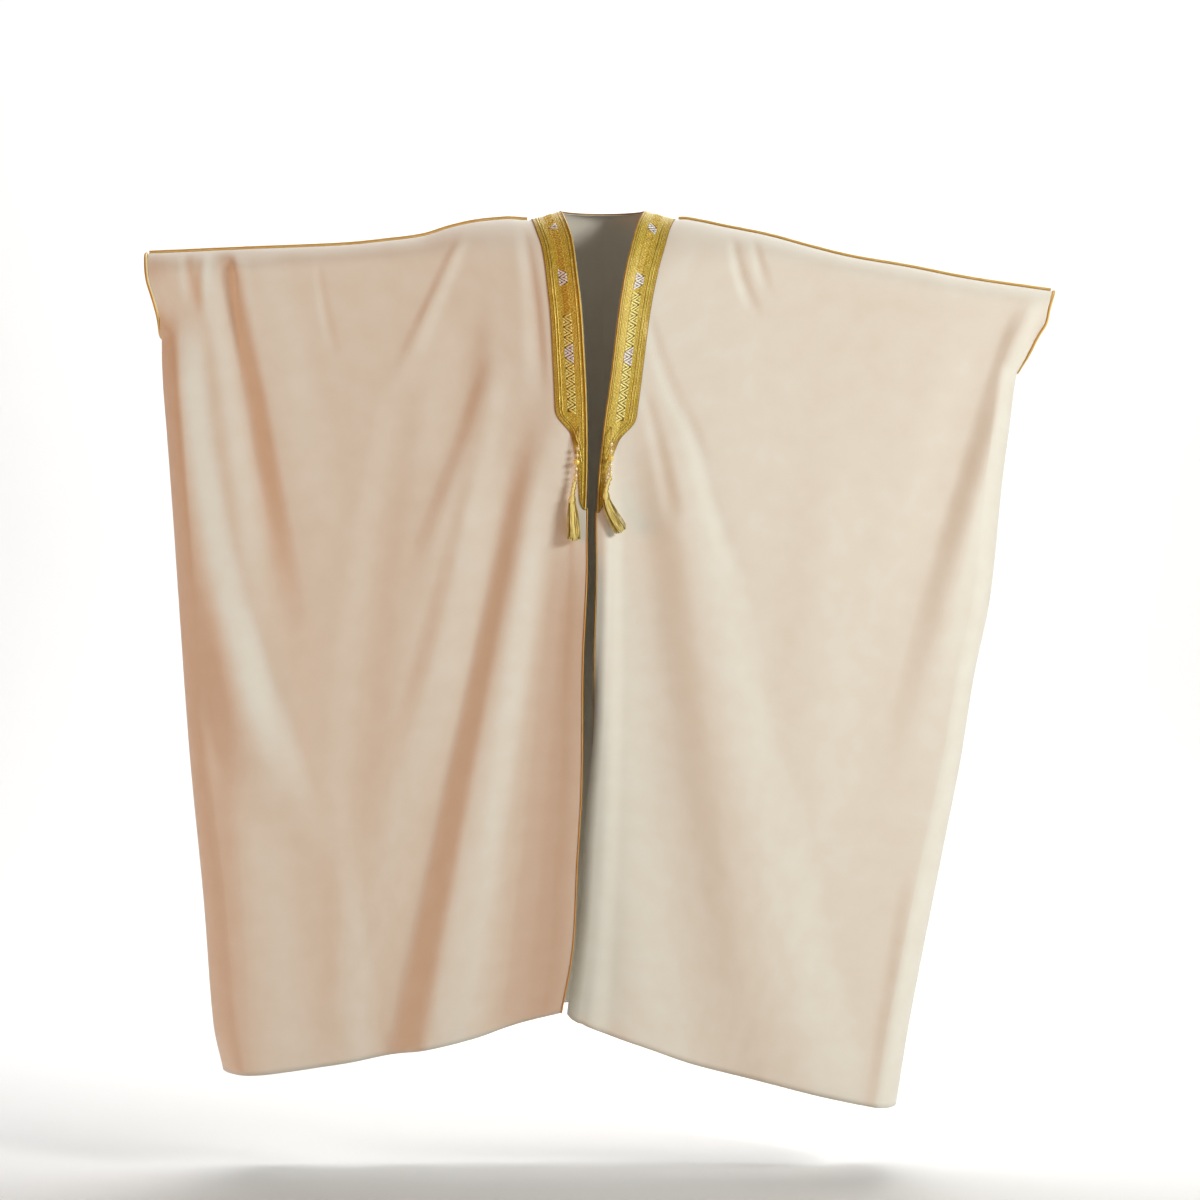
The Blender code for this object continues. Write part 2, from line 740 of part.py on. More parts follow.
def hanging_depth(half, surfaces):
    """A function that gives how far forward the string and tassel hang at a drop.

    They lie on a straight line that is just clear of the band and the cloth behind them.
    """
    start, foot = STRING_EXIT[half.side], STRING_FOOT[half.side]
    first, last = start.drop + 24, foot.drop + SKIRT_TOP + SKIRT_LENGTH[half.side]
    needed = []
    for i in range(25):
        drop = mix(first, last, i / 24)
        skirt = max(0.0, (drop - foot.drop) / (last - foot.drop))
        out = mix(start.out, foot.out, min(1.0, (drop - start.drop) / (foot.drop - start.drop)))
        centre = half.side * out + tassel_aside(half, skirt)
        width = mix(LARGE_BEAD / 2, SKIRT_HALF_WIDTH + 1, skirt)
        depth = mix(LARGE_BEAD / 2, SKIRT_HALF_DEPTH + 1, skirt) + 2 * SEAM_GAP
        asides = [centre + width * aside / 3 for aside in range(-3, 4)]
        nearest = min(forward_of(surfaces, aside, drop) for aside in asides)
        needed.append((drop, nearest - depth))

    def line(drop):
        return mix(needed[0][1], needed[-1][1], (drop - first) / (last - first))

    slack = min(depth - line(drop) for drop, depth in needed)
    return lambda drop: line(drop) + slack


def string_route(half, surfaces, depth_at):
    """The string's points, from the band's face to the tassel."""
    start, foot = STRING_EXIT[half.side], STRING_FOOT[half.side]
    face = forward_of(surfaces, half.side * start.out, start.drop) - STRING_WIDTH / 2 - SEAM_GAP
    steps = 18
    points = []
    for i in range(steps + 1):
        way = i / steps
        out = mix(start.out, foot.out, way)
        drop = mix(start.drop, foot.drop, way)
        forward = mix(face, depth_at(drop), math.sin(math.pi / 2 * min(1, way * 4)))
        points.append(Vector((half.side * out, forward, -drop)))
    return points


def along(points, distance):
    """The point a distance along a route, and the route's direction there."""
    for a, b in zip(points, points[1:]):
        step = (b - a).length
        if distance <= step or b is points[-1]:
            return a + (b - a) * (distance / step), (b - a).normalized()
        distance -= step
    return points[-1], Vector((0, 0, -1))


def bored(name, wide, tall, point, direction, finish, collection):
    """A bead or ring, turned round a bore, with the string's direction through it."""
    bore = BEAD_BORE / 2
    inset = math.acos(bore / (wide / 2))
    profile = [(bore, tall / 2 * math.sin(inset)), (bore, -tall / 2 * math.sin(inset))]
    for i in range(1, 5):
        angle = mix(-inset, inset, i / 5)
        profile.append((wide / 2 * math.cos(angle), tall / 2 * math.sin(angle)))
    mesh = bmesh.new()
    verts = [mesh.verts.new(Vector((x, 0, z)) * MM) for x, z in profile]
    edges = [mesh.edges.new((a, b)) for a, b in zip(verts, verts[1:] + verts[:1])]
    bmesh.ops.spin(
        mesh,
        geom=verts + edges,
        axis=(0, 0, 1),
        cent=(0, 0, 0),
        angle=math.tau,
        steps=8,
        use_merge=True,
    )
    bmesh.ops.recalc_face_normals(mesh, faces=mesh.faces[:])
    made = add_mesh(name, mesh, finish, collection)
    made.location = point * MM
    made.rotation_euler = direction.to_track_quat("Z", "Y").to_euler()


def strand(mesh, points, radii):
    """One lock of a tassel: three-sided, and thicker towards its end."""
    grown = bmesh.ops.create_circle(mesh, cap_ends=True, segments=3, radius=radii[0] * MM)
    ring = grown["verts"]
    for vert in ring:
        vert.co += points[0] * MM
    face = root = ring[0].link_faces[0]
    for before, after, small, large in zip(points, points[1:], radii, radii[1:]):
        made = bmesh.ops.extrude_face_region(mesh, geom=[face])["geom"]
        if face is not root:
            bmesh.ops.delete(mesh, geom=[face], context="FACES_ONLY")
        ring = [part for part in made if isinstance(part, bmesh.types.BMVert)]
        face = next(part for part in made if isinstance(part, bmesh.types.BMFace))
        for vert in ring:
            vert.co = (after + (vert.co / MM - before) * (large / small)) * MM


def tassel(half, name, depth_at, collection, cutters):
    """A knotted neck and a head, with a skirt of locks that swings out to its side."""
    length = SKIRT_LENGTH[half.side]
    foot = STRING_FOOT[half.side]
    top = foot.drop + SEAM_GAP * 1.5

    def centre(below):
        aside = half.side * foot.out + tassel_aside(half, below / (SKIRT_TOP + length))
        return Vector((aside, depth_at(top + below), -top - below))

    curve = bpy.data.curves.new(name, "CURVE")
    curve.dimensions = "3D"
    curve.bevel_depth = MM
    curve.bevel_resolution = 2
    curve.use_fill_caps = True
    spline = curve.splines.new("POLY")
    spline.points.add(len(KNOTS) - 1)
    for knot, row in zip(spline.points, KNOTS):
        knot.co = (*(centre(row.below) * MM), 1.0)
        knot.radius = row.radius
    guide = add_object(name + "_guide", curve, SILK, cutters)
    bpy.context.view_layer.update()
    depsgraph = bpy.context.evaluated_depsgraph_get()
    data = bpy.data.meshes.new_from_object(guide.evaluated_get(depsgraph))
    bpy.data.objects.remove(guide)
    head = bmesh.new()
    head.from_mesh(data)
    bmesh.ops.remove_doubles(head, verts=head.verts[:], dist=0.00001)
    bmesh.ops.recalc_face_normals(head, faces=head.faces[:])
    made = add_mesh(name, head, SILK, collection)

    skirt = bmesh.new()
    for ring, count in enumerate(SKIRT_RINGS, start=1):
        share = ring / len(SKIRT_RINGS)
        for i in range(count):
            angle = math.tau * (i + ring / 2) / count
            round_x, round_y = math.cos(angle) * share, math.sin(angle) * share
            end = SKIRT_TOP + length - 3 * share + 2 * math.sin(5 * angle + ring)
            points, radii = [], []
            for step in range(4):
                way = step / 3
                wide = mix(SKIRT_ROOT, SKIRT_HALF_WIDTH, math.sin(math.pi / 2 * way) ** 0.6)
                deep = mix(SKIRT_ROOT, SKIRT_HALF_DEPTH, way)
                middle = centre(mix(SKIRT_TOP, end, way))
                onward = (centre(mix(SKIRT_TOP, end, way) + 1) - middle).normalized()
                aside = Vector((-onward.z, 0, onward.x)) * round_x * wide
                points.append(middle + aside + Vector((0, round_y * deep, 0)))
                radii.append(mix(STRAND_ROOT, STRAND_TIP, way))
            strand(skirt, points, radii)
    bmesh.ops.recalc_face_normals(skirt, faces=skirt.faces[:])
    locks = add_mesh(name + "_locks", skirt, SILK, cutters)
    locks.hide_render = True
    locks.display_type = "WIRE"
    union = made.modifiers.new("locks", "BOOLEAN")
    union.operation = "UNION"
    union.object = locks


def beaded_tassel(half, name, surfaces, collection, cutters):
    """The string that hangs from a band, its beads, its ring and its tassel."""
    depth_at = hanging_depth(half, surfaces)
    route = string_route(half, surfaces, depth_at)
    tube("tassel_string_" + name, route, STRING_WIDTH, SILK, collection, resolution=2)
    ring_at = sum((b - a).length for a, b in zip(route, route[1:])) - RING_FROM_END
    for i, wide in enumerate(BEADS):
        above_ring = LAST_BEAD_FROM_RING + (len(BEADS) - 1 - i) * BEAD_PITCH
        point, direction = along(route, ring_at - above_ring)
        finish = BEAD_GOLD if wide == LARGE_BEAD else BEAD_PALE
        bored(f"bead_{name}_{i + 1}", wide, wide, point, direction, finish, collection)
    point, direction = along(route, ring_at)
    bored("tassel_ring_" + name, RING_WIDE, RING_TALL, point, direction, BEAD_GOLD, collection)
    tassel(half, "tassel_" + name, depth_at, collection, cutters)


def build():
    """The whole cloak, piece by piece."""
    for old in list(bpy.data.objects):
        bpy.data.objects.remove(old)
    cloak = bpy.data.collections.new("open_cloak")
    cutters = bpy.data.collections.new("cutters")
    bpy.context.scene.collection.children.link(cloak)
    bpy.context.scene.collection.children.link(cutters)

    def flush(_across, _down):
        return 0.0

    def across_back(across, down):
        return back_place()(2 * across - 1, down)

    back = wall(2 * BACK_HALF_COLUMNS, ROWS, across_back, flush, -CLOTH_THICK)
    back_surface = BVHTree.FromBMesh(back)
    add_mesh("back", back, CREAM, cloak)
    band_neck(back_surface, cloak)
    for half, name in ((RIGHT, "right"), (LEFT, "left")):
        front = wall(FRONT_COLUMNS, ROWS, front_place(half), flush, -CLOTH_THICK)
        front_surface = BVHTree.FromBMesh(front)
        add_mesh("front_" + name, front, CREAM, cloak)
        band_surface = band(half, "band_" + name, front_surface, cloak)
        shoulder_braid(half, "shoulder_braid_" + name, cloak)
        cuff_braid(half, "cuff_braid_" + name, cloak)
        piping(half, "piping_" + name, cloak)
        beaded_tassel(half, name, (front_surface, band_surface), cloak, cutters)


build()
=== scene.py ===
"""The dressed look of an open cloak of cream crepe with gold trim, worn with both arms held out.

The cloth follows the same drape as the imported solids, on finer grids and with smaller creases.
Everything that is sewn on it is placed by that drape, so it lies on the cloth from any side.

Sizes are in millimetres: out is away from the middle plane, drop is down from the shoulders.
Across and down are shares of a panel's columns and rows.
"""

from __future__ import annotations

import logging
import math
from dataclasses import dataclass
from enum import Enum
from typing import Callable

import bmesh
import bpy
import numpy as np
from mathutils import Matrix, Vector


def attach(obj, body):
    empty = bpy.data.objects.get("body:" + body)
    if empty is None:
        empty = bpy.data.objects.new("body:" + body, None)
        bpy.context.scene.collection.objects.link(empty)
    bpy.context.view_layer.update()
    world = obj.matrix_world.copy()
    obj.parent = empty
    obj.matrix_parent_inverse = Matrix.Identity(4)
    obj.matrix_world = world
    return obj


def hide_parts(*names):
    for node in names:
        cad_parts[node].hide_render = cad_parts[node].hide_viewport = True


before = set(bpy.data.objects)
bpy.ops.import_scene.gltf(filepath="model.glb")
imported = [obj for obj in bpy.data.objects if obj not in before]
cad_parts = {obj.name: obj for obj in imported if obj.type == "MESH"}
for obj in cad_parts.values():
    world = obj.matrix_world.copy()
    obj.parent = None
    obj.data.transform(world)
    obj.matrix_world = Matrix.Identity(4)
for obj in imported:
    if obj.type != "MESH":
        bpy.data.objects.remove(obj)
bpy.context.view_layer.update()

LOG = logging.getLogger("cloak")
BODY = "root"
MM = 0.001
# The share of a panel over which its slope is measured
STEP = 1e-4

Array = np.ndarray
Piece = bpy.types.Object
Tree = bpy.types.NodeTree
Node = bpy.types.Node
Socket = bpy.types.NodeSocket
Line = Callable[[Array], tuple[Array, ...]]
# Points and normals, in millimetres, at some shares or distances
Place = Callable[[Array, Array], tuple[Array, Array]]
# Points in millimetres, outward directions, and places on the piece's own map in metres
Skin = tuple[Array, Array, Array]
Shape = Callable[[Array, Array], Skin]


class Side(Enum):
    """The wearer's right, towards -X, or left, towards +X."""

    RIGHT = -1
    LEFT = 1

    @property
    def label(self) -> str:
        """The side's name in lower case, as it ends a node's name."""
        return self.name.lower()


def smoothstep(t: Array) -> Array:
    """A soft step from 0 to 1 as t goes from 0 to 1."""
    t = np.clip(t, 0.0, 1.0)
    return t * t * (3 - 2 * t)


def mix(a: Array | float, b: Array | float, share: Array | float) -> Array | float:
    """The value a share of the way from a to b."""
    return a + (b - a) * share


class Curve:
    """A smooth curve through rows of numbers, whose first number says where a row stands."""

    def __init__(self, rows: list[tuple[float, ...]]) -> None:
        """Finds the slopes at the rows.

        Args:
            rows: where each row stands, then its values.
        """
        grid = np.array(rows, dtype=float)
        self.at = grid[:, 0]
        self.values = grid[:, 1:]
        order = np.arange(len(grid))
        before = np.maximum(order - 1, 0)
        after = np.minimum(order + 1, len(grid) - 1)
        run = self.at[after] - self.at[before]
        self.slopes = (self.values[after] - self.values[before]) / run[:, None]

    def __call__(self, at: Array) -> tuple[Array, ...]:
        """The values at some places.

        Args:
            at: where to read the curve.

        Returns:
            One array for each value of a row.
        """
        at = np.asarray(at, dtype=float)
        row = np.clip(np.searchsorted(self.at, at, side="right") - 1, 0, len(self.at) - 2)
        run = (self.at[row + 1] - self.at[row])[..., None]
        t = np.clip((at - self.at[row])[..., None] / run, 0.0, 1.0)
        found = (
            (1 + 2 * t) * (1 - t) ** 2 * self.values[row]
            + t * (1 - t) ** 2 * run * self.slopes[row]
            + t * t * (3 - 2 * t) * self.values[row + 1]
            + t * t * (t - 1) * run * self.slopes[row + 1]
        )
        return tuple(np.moveaxis(found, -1, 0))


def outline(*places: tuple[float, float]) -> Curve:
    """A curve through places seen from the front, read by the share of its length.

    Args:
        places: out and drop of each place.

    Returns:
        The curve.
    """
    run = [0.0]
    for a, b in zip(places, places[1:]):
        run.append(run[-1] + math.dist(a, b))
    return Curve([(r / run[-1], *place) for r, place in zip(run, places)])


@dataclass(frozen=True)
class Fold:
    """A soft ridge, or a trough where rise is negative, from its top to its bottom."""

    rise: float
    spread: float
    top: float
    bottom: float
    out_top: float
    out_middle: float
    out_bottom: float
    fade_in: float
    fade_out: float
    steep: float = 0.0

    def height(self, out: Array, drop: Array) -> Array:
        """How far this fold lifts the cloth.

        Args:
            out: how far out each point is.
            drop: how far down each point is.

        Returns:
            The lift of each point.
        """
        t = (drop - self.top) / (self.bottom - self.top)
        inside = (t > 0) & (t < 1)
        t = np.clip(t, 0.0, 1.0)
        middle = (
            self.out_top * (1 - t) * (1 - 2 * t)
            + self.out_middle * 4 * t * (1 - t)
            + self.out_bottom * t * (2 * t - 1)
        )
        grown = mix(FOLD_START, 1, t)
        off = (out - middle) / (self.spread * grown)
        off = np.where(off > 0, off * (1 + self.steep), off * (1 - self.steep))
        ends = smoothstep((drop - self.top) / self.fade_in)
        ends = ends * smoothstep((self.bottom - drop) / self.fade_out)
        crest = np.cos(np.pi / 2 * np.clip(np.abs(off), 0, 1)) ** 2
        return np.where(inside, self.rise * grown * ends * crest, 0.0)


# The drape's own sizes, as in the solids
ARM_FALL = 44.0
CUFF_DEPTH = 42.0
TYPICAL_DROP = 1350.0
HALF_WIDTH = 745.0
CHEST_SPAN = 650.0
SEAM_SPAN = 682.0
NECK_OUT = 68.0
NAPE_DEPTH = 74.0
NAPE_DROP = -9.0
EDGE_STRIP = 26.0
ROLL_RADIUS = 9.0
ROLL_ANGLE = math.radians(125)
SEAM_GAP = 0.3

# Shares of the rows: where the turn over the shoulder ends, and the foot of the cuff opening
TURN = 4 / 22
CUFF = 7 / 22
# Shares of the columns: the front's first strip, its turn to the side, and the same on the back
EDGE = 3 / 24
SIDE_START = 20 / 24
NECK = 3 / 19
BACK_SIDE = 15 / 19
# Shares of the width: the turn to the side, and how far columns lean together from a share down
SIDE_ROUND = 0.055
LEAN = 0.08
LEAN_FROM = 0.36
# Shares of the fall: where the waist and the hem take over, and how fast the edge's roll grows
WAIST_FROM, WAIST_OVER = 0.03, 0.4
HEM_FROM = 0.35
ROLL_GROWTH = 0.22
# Shares of the cuff opening over which it closes, and of a rolled strip that the roll takes up
CLOSING_FROM, CLOSING_OVER = 0.35, 0.6
ROLL_TAKES = 0.35
# How broad and high a fold is at its top, as a share of its foot
FOLD_START = 0.55


@dataclass(frozen=True)
class Half:
    """One side of the cloak, with out measured towards that side."""

    side: Side
    ridge: Curve
    front_edge: Curve
    side_line: Curve
    front_hem: Curve
    back_hem: Curve
    cuff_share: float
    roll_from: float
    folds: tuple[Fold, ...]
    creases: tuple[Fold, ...]


RIGHT = Half(
    side=Side.RIGHT,
    ridge=outline(
        (68, -5), (117, 8), (158, 7), (210, 12), (251, 21), (297, 35), (356, 43), (427, 50),
        (594, 57), (750, 64),
    ),
    front_edge=outline(
        (68, -5), (58, 20), (49, 49), (41, 108), (35, 158), (30, 235), (26, 320), (25, 410),
        (28, 520), (28, 600), (34, 740), (36, 930), (43, 1060), (50, 1190), (68, 1292),
    ),
    side_line=outline(
        (750, 64), (744, 109), (733, 145), (727, 173), (728, 203), (726, 272), (719, 361),
        (709, 493), (700, 625), (681, 891), (658, 1130), (642, 1334), (626, 1406),
    ),
    front_hem=outline(
        (68, 1292), (138, 1315), (207, 1341), (317, 1365), (413, 1385), (553, 1404), (626, 1406),
    ),
    back_hem=outline((0, 1310), (150, 1326), (380, 1372), (626, 1406)),
    cuff_share=0.104,
    roll_from=2.0,
    folds=(
        Fold(30, 84, 150, 1080, 694, 636, 466, 120, 320, -0.1),
        Fold(-16, 58, 20, 780, 642, 570, 508, 50, 380),
        Fold(12, 75, 50, 700, 588, 530, 470, 60, 400, 0.4),
        Fold(14, 90, 600, 1560, 625, 580, 548, 200, 60, 0.2),
        Fold(-6, 75, 190, 1380, 300, 390, 400, 180, 500),
        Fold(-11, 90, 130, 520, 212, 232, 258, 120, 180, -0.3),
        Fold(9, 54, 220, 640, 170, 236, 310, 90, 180, 0.3),
        Fold(12, 70, 380, 1020, 190, 262, 345, 120, 300, 0.3),
        Fold(-20, 89, 270, 1480, 122, 247, 362, 240, 60, -0.4),
        Fold(16, 72, 260, 1480, 62, 194, 316, 200, 60, 0.13),
        Fold(-7, 56, 340, 1480, 84, 140, 206, 160, 60),
        Fold(56, 150, 450, 1480, -6, 12, 40, 220, 60),
        Fold(6, 60, 900, 1500, 440, 420, 410, 250, 60),
    ),
    creases=(
        Fold(-5, 20, 40, 170, 688, 680, 668, 30, 60),
        Fold(9, 22, 60, 330, 604, 590, 568, 30, 200, 0.5),
        Fold(4, 16, 50, 200, 650, 655, 650, 30, 80),
        Fold(6, 26, 20, 300, 222, 285, 350, 40, 120, 0.3),
        Fold(-6, 22, 15, 330, 130, 108, 100, 40, 120, -0.4),
        Fold(-2.5, 16, 60, 260, 470, 455, 430, 60, 90),
    ),
)

LEFT = Half(
    side=Side.LEFT,
    ridge=outline(
        (68, -5), (114, 7), (140, 8), (200, 20), (274, 35), (340, 53), (409, 70), (502, 86),
        (604, 106), (740, 126),
    ),
    front_edge=outline(
        (68, -5), (57, 18), (48, 48), (37, 94), (26, 158), (12, 273), (0, 362), (-9, 460),
        (-10, 610), (-13, 713), (-16, 830), (-30, 1002), (-38, 1140), (-58, 1290),
    ),
    side_line=outline(
        (740, 126), (729, 155), (722, 182), (708, 205), (694, 235), (682, 263), (670, 350),
        (658, 441), (638, 630), (612, 756), (589, 899), (563, 1031), (507, 1318), (483, 1464),
    ),
    front_hem=outline(
        (-58, 1290), (-44, 1309), (2, 1331), (71, 1357), (148, 1386), (275, 1418), (412, 1453),
        (483, 1464),
    ),
    back_hem=outline((0, 1310), (120, 1338), (300, 1412), (483, 1464)),
    cuff_share=0.107,
    roll_from=0.52,
    folds=(
        Fold(9, 40, 400, 1480, 6, 0, -40, 120, 60),
        Fold(-16, 120, 330, 1480, 42, 92, 165, 160, 60),
        Fold(15, 125, 280, 1480, 92, 209, 342, 160, 60),
        Fold(-5, 110, 160, 1120, 640, 500, 380, 90, 700),
        Fold(22, 64, 140, 1040, 706, 574, 466, 70, 760),
        Fold(9, 45, 1000, 1600, 520, 478, 440, 200, 60),
        Fold(5, 110, 300, 1250, 380, 340, 330, 250, 300),
        Fold(-7, 40, 150, 420, 700, 660, 610, 60, 160),
    ),
    creases=(
        Fold(-6, 20, 30, 190, 212, 226, 262, 30, 80),
        Fold(-5, 18, 30, 150, 246, 256, 278, 30, 70),
        Fold(-5, 27, 150, 480, 68, 120, 215, 60, 180),
        Fold(-5, 24, 280, 520, 62, 92, 116, 40, 60),
        Fold(-4, 30, 300, 620, 130, 172, 225, 80, 120),
    ),
)

# Share across, then the stand-off from the plane of the arms: at the shoulder, its fall, at the
# waist and at the hem
FRONT_DEPTHS = Curve([
    (0.00, 98, 170, 128, 138),
    (0.10, 88, 120, 127, 135),
    (0.25, 64, 66, 118, 128),
    (0.45, 47, 46, 98, 114),
    (0.70, 44, ARM_FALL, 78, 94),
    (1.00, 42, ARM_FALL, 62, 72),
])
BACK_DEPTHS = Curve([
    (0.00, 122, 92, 128, 134),
    (0.10, 114, 92, 126, 131),
    (0.25, 78, 66, 114, 122),
    (0.45, 50, 46, 94, 106),
    (0.70, 44, ARM_FALL, 76, 90),
    (1.00, 42, ARM_FALL, 60, 70),
])

# On the back, out is measured to the wearer's left all the way across
BACK_FOLDS = (
    Fold(14, 60, 160, 1500, -690, -600, -500, 120, 60),
    Fold(-16, 60, 60, 1500, -560, -500, -400, 90, 60),
    Fold(16, 70, 150, 1480, -400, -350, -300, 160, 60),
    Fold(-18, 65, 260, 1480, -210, -250, -215, 160, 60),
    Fold(15, 60, 240, 1480, -110, -130, -120, 160, 60),
    Fold(-14, 60, 300, 1480, 6, -20, -30, 200, 60),
    Fold(17, 64, 260, 1480, 90, 80, 62, 160, 60),
    Fold(-17, 60, 220, 1480, 170, 190, 150, 160, 60),
    Fold(15, 70, 180, 1480, 290, 290, 240, 160, 60),
    Fold(-15, 70, 120, 1500, 440, 390, 330, 120, 60),
    Fold(16, 66, 150, 1500, 640, 520, 410, 120, 60),
)
BACK_CREASES = (
    Fold(-6, 26, 70, 320, -640, -600, -560, 40, 160),
    Fold(5, 22, 40, 200, -470, -455, -430, 40, 80),
    Fold(-6, 24, 30, 260, -230, -250, -300, 40, 120),
    Fold(6, 24, 60, 420, -150, -190, -250, 60, 200),
    Fold(-5, 24, 50, 300, 120, 150, 210, 50, 140),
    Fold(6, 26, 40, 240, 260, 285, 320, 50, 110),
    Fold(-5, 22, 70, 200, 480, 470, 450, 40, 80),
    Fold(6, 28, 110, 420, 660, 610, 560, 60, 200),
    Fold(-6, 40, 500, 1300, -330, -300, -280, 250, 300),
    Fold(5, 36, 620, 1440, 330, 300, 262, 250, 200),
)


def fold_height(folds: tuple[Fold, ...], out: Array, drop: Array) -> Array:
    """How far all folds together lift the cloth at some places."""
    return sum((fold.height(out, drop) for fold in folds), np.zeros_like(out))


def coons(
    top: Line, bottom: Line, near: Line, far: Line, across: Array, fall: Array
) -> tuple[Array, Array]:
    """Places inside four boundary curves.

    Args:
        top: the curve along the top, by the share across.
        bottom: the curve along the bottom.
        near: the curve down the middle of the garment, by the share of the fall.
        far: the curve down its side.
        across: the share across of each place.
        fall: the share of the fall of each place.

    Returns:
        Out and drop of each place.
    """
    zero, one = np.zeros_like(across), np.ones_like(across)
    found = []
    for i in (0, 1):
        sides = mix(near(fall)[i], far(fall)[i], across) + mix(top(across)[i], bottom(across)[i], fall)
        corners = mix(
            mix(top(zero)[i], top(one)[i], across),
            mix(bottom(zero)[i], bottom(one)[i], across),
            fall,
        )
        found.append(sides - corners)
    return found[0], found[1]


def share_down(half: Half, down: Array, shoulder_fall: Array) -> Array:
    """The share of the fall at some rows, which turn over the shoulder and then run to the hem.

    Args:
        half: the side of the cloak.
        down: the share down of each row.
        shoulder_fall: how far each column falls in the turn over the shoulder.

    Returns:
        The share of the fall.
    """
    turn = shoulder_fall / TYPICAL_DROP
    arm_turn = ARM_FALL / TYPICAL_DROP
    seam = (half.cuff_share - arm_turn) / (1 - arm_turn)
    above_foot = seam * (down - TURN) / (CUFF - TURN)
    below_foot = mix(seam, 1, (down - CUFF) / (1 - CUFF))
    below = np.where(down < CUFF, above_foot, below_foot)
    turning = turn * (1 - np.cos(np.pi / 2 * np.minimum(down / TURN, 1)))
    return np.where(down < TURN, turning, mix(turn, 1, below))


def share_across(across: Array, start: float, start_share: float, side: float, closing: Array) -> Array:
    """The share of the width at some columns, the last of which turn round to the side seam.

    Args:
        across: the share across of each column.
        start: the column share at which the first strip ends.
        start_share: the share of the width at which it ends.
        side: the column share at which the turn to the side starts.
        closing: how closed the side is, from 0 at the cuff to 1.

    Returns:
        The share of the width.
    """
    along = np.clip((across - side) / (1 - side), 0, 1)
    turned = 1 - SIDE_ROUND * (1 - np.cos(np.pi / 2 * (1 - along)))
    last = mix(mix(1 - SIDE_ROUND, 1, along), turned, closing)
    middle = mix(start_share, 1 - SIDE_ROUND, (across - start) / (side - start))
    return np.where(across < start, start_share * across / start, np.where(across < side, middle, last))


def leaning(share: Array, fall: Array) -> Array:
    """The share again, with the columns below the bands leaning together as the folds do."""
    return share + LEAN * smoothstep((fall - LEAN_FROM) / (1 - LEAN_FROM)) * np.sin(math.tau * share)


def stand_off(
    half: Half, depths: Curve, across: Array, down: Array, fall: Array, side: float
) -> tuple[Array, Array, Array, Array]:
    """The cloth's depth without folds.

    Args:
        half: the side of the cloak.
        depths: the table of stand-offs.
        across: the share of the columns, at which the table is read too.
        down: the share of the rows.
        fall: the share of the fall.
        side: the column share at which the cloth starts to turn round the side.

    Returns:
        The depth, how far the turn over the shoulder has come, how far the cloth is from its
        side seam, and the depth of the cuff opening.
    """
    shoulder, _, waist, hem = depths(across)
    depth = mix(shoulder, waist, smoothstep((fall - WAIST_FROM) / WAIST_OVER))
    depth = mix(depth, hem, smoothstep((fall - HEM_FROM) / (1 - HEM_FROM)))
    over = np.sin(np.pi / 2 * np.minimum(1.0, down / TURN))
    closed = np.sin(np.pi / 2 * np.minimum(1.0, (1 - across) / (1 - side)))
    cuff_way = np.clip(share_down(half, down, np.full_like(down, ARM_FALL)) / half.cuff_share, 0, 1)
    opening = CUFF_DEPTH * 2 * np.sqrt(cuff_way * (1 - cuff_way))
    return depth, over, closed, opening


def closing_at(half: Half, down: Array) -> Array:
    """0 at the top of the cuff opening, 1 from its foot down."""
    cuff_way = share_down(half, down, np.full_like(down, ARM_FALL)) / half.cuff_share
    return smoothstep((cuff_way - CLOSING_FROM) / CLOSING_OVER)


def front_points(half: Half, across: Array, down: Array) -> Array:
    """Points on the outside of a front.

    Args:
        half: the side of the cloak.
        across: the share across of each point.
        down: the share down of each point.

    Returns:
        One row of X, Y and Z for each point.
    """
    across, down = np.broadcast_arrays(np.asarray(across, float), np.asarray(down, float))
    share = share_across(across, EDGE, EDGE_STRIP / CHEST_SPAN, SIDE_START, closing_at(half, down))
    fall = share_down(half, down, FRONT_DEPTHS(share)[1])
    share = leaning(share, fall)
    out, drop = coons(half.ridge, half.front_hem, half.front_edge, half.side_line, share, fall)
    depth, over, closed, opening = stand_off(half, FRONT_DEPTHS, across, down, fall, SIDE_START)
    depth = depth * over + fold_height(half.folds + half.creases, out, drop) * over * closed
    depth = mix(opening, depth, closed)
    rolled = smoothstep((fall - half.roll_from) / ROLL_GROWTH) * (across < EDGE)
    angle = ROLL_ANGLE * (1 - np.minimum(across / EDGE, 1))
    curled = half.front_edge(fall)[0] + ROLL_RADIUS * (1 - np.sin(angle))
    strip = across / EDGE * (EDGE_STRIP - ROLL_RADIUS)
    beyond = np.maximum(0.0, strip - (EDGE_STRIP - ROLL_RADIUS) * ROLL_TAKES)
    out = mix(out, curled + beyond, rolled)
    depth = depth - rolled * ROLL_RADIUS * (1 - np.cos(angle))
    return np.stack([half.side.value * out, -depth - SEAM_GAP / 2, -drop], axis=-1)


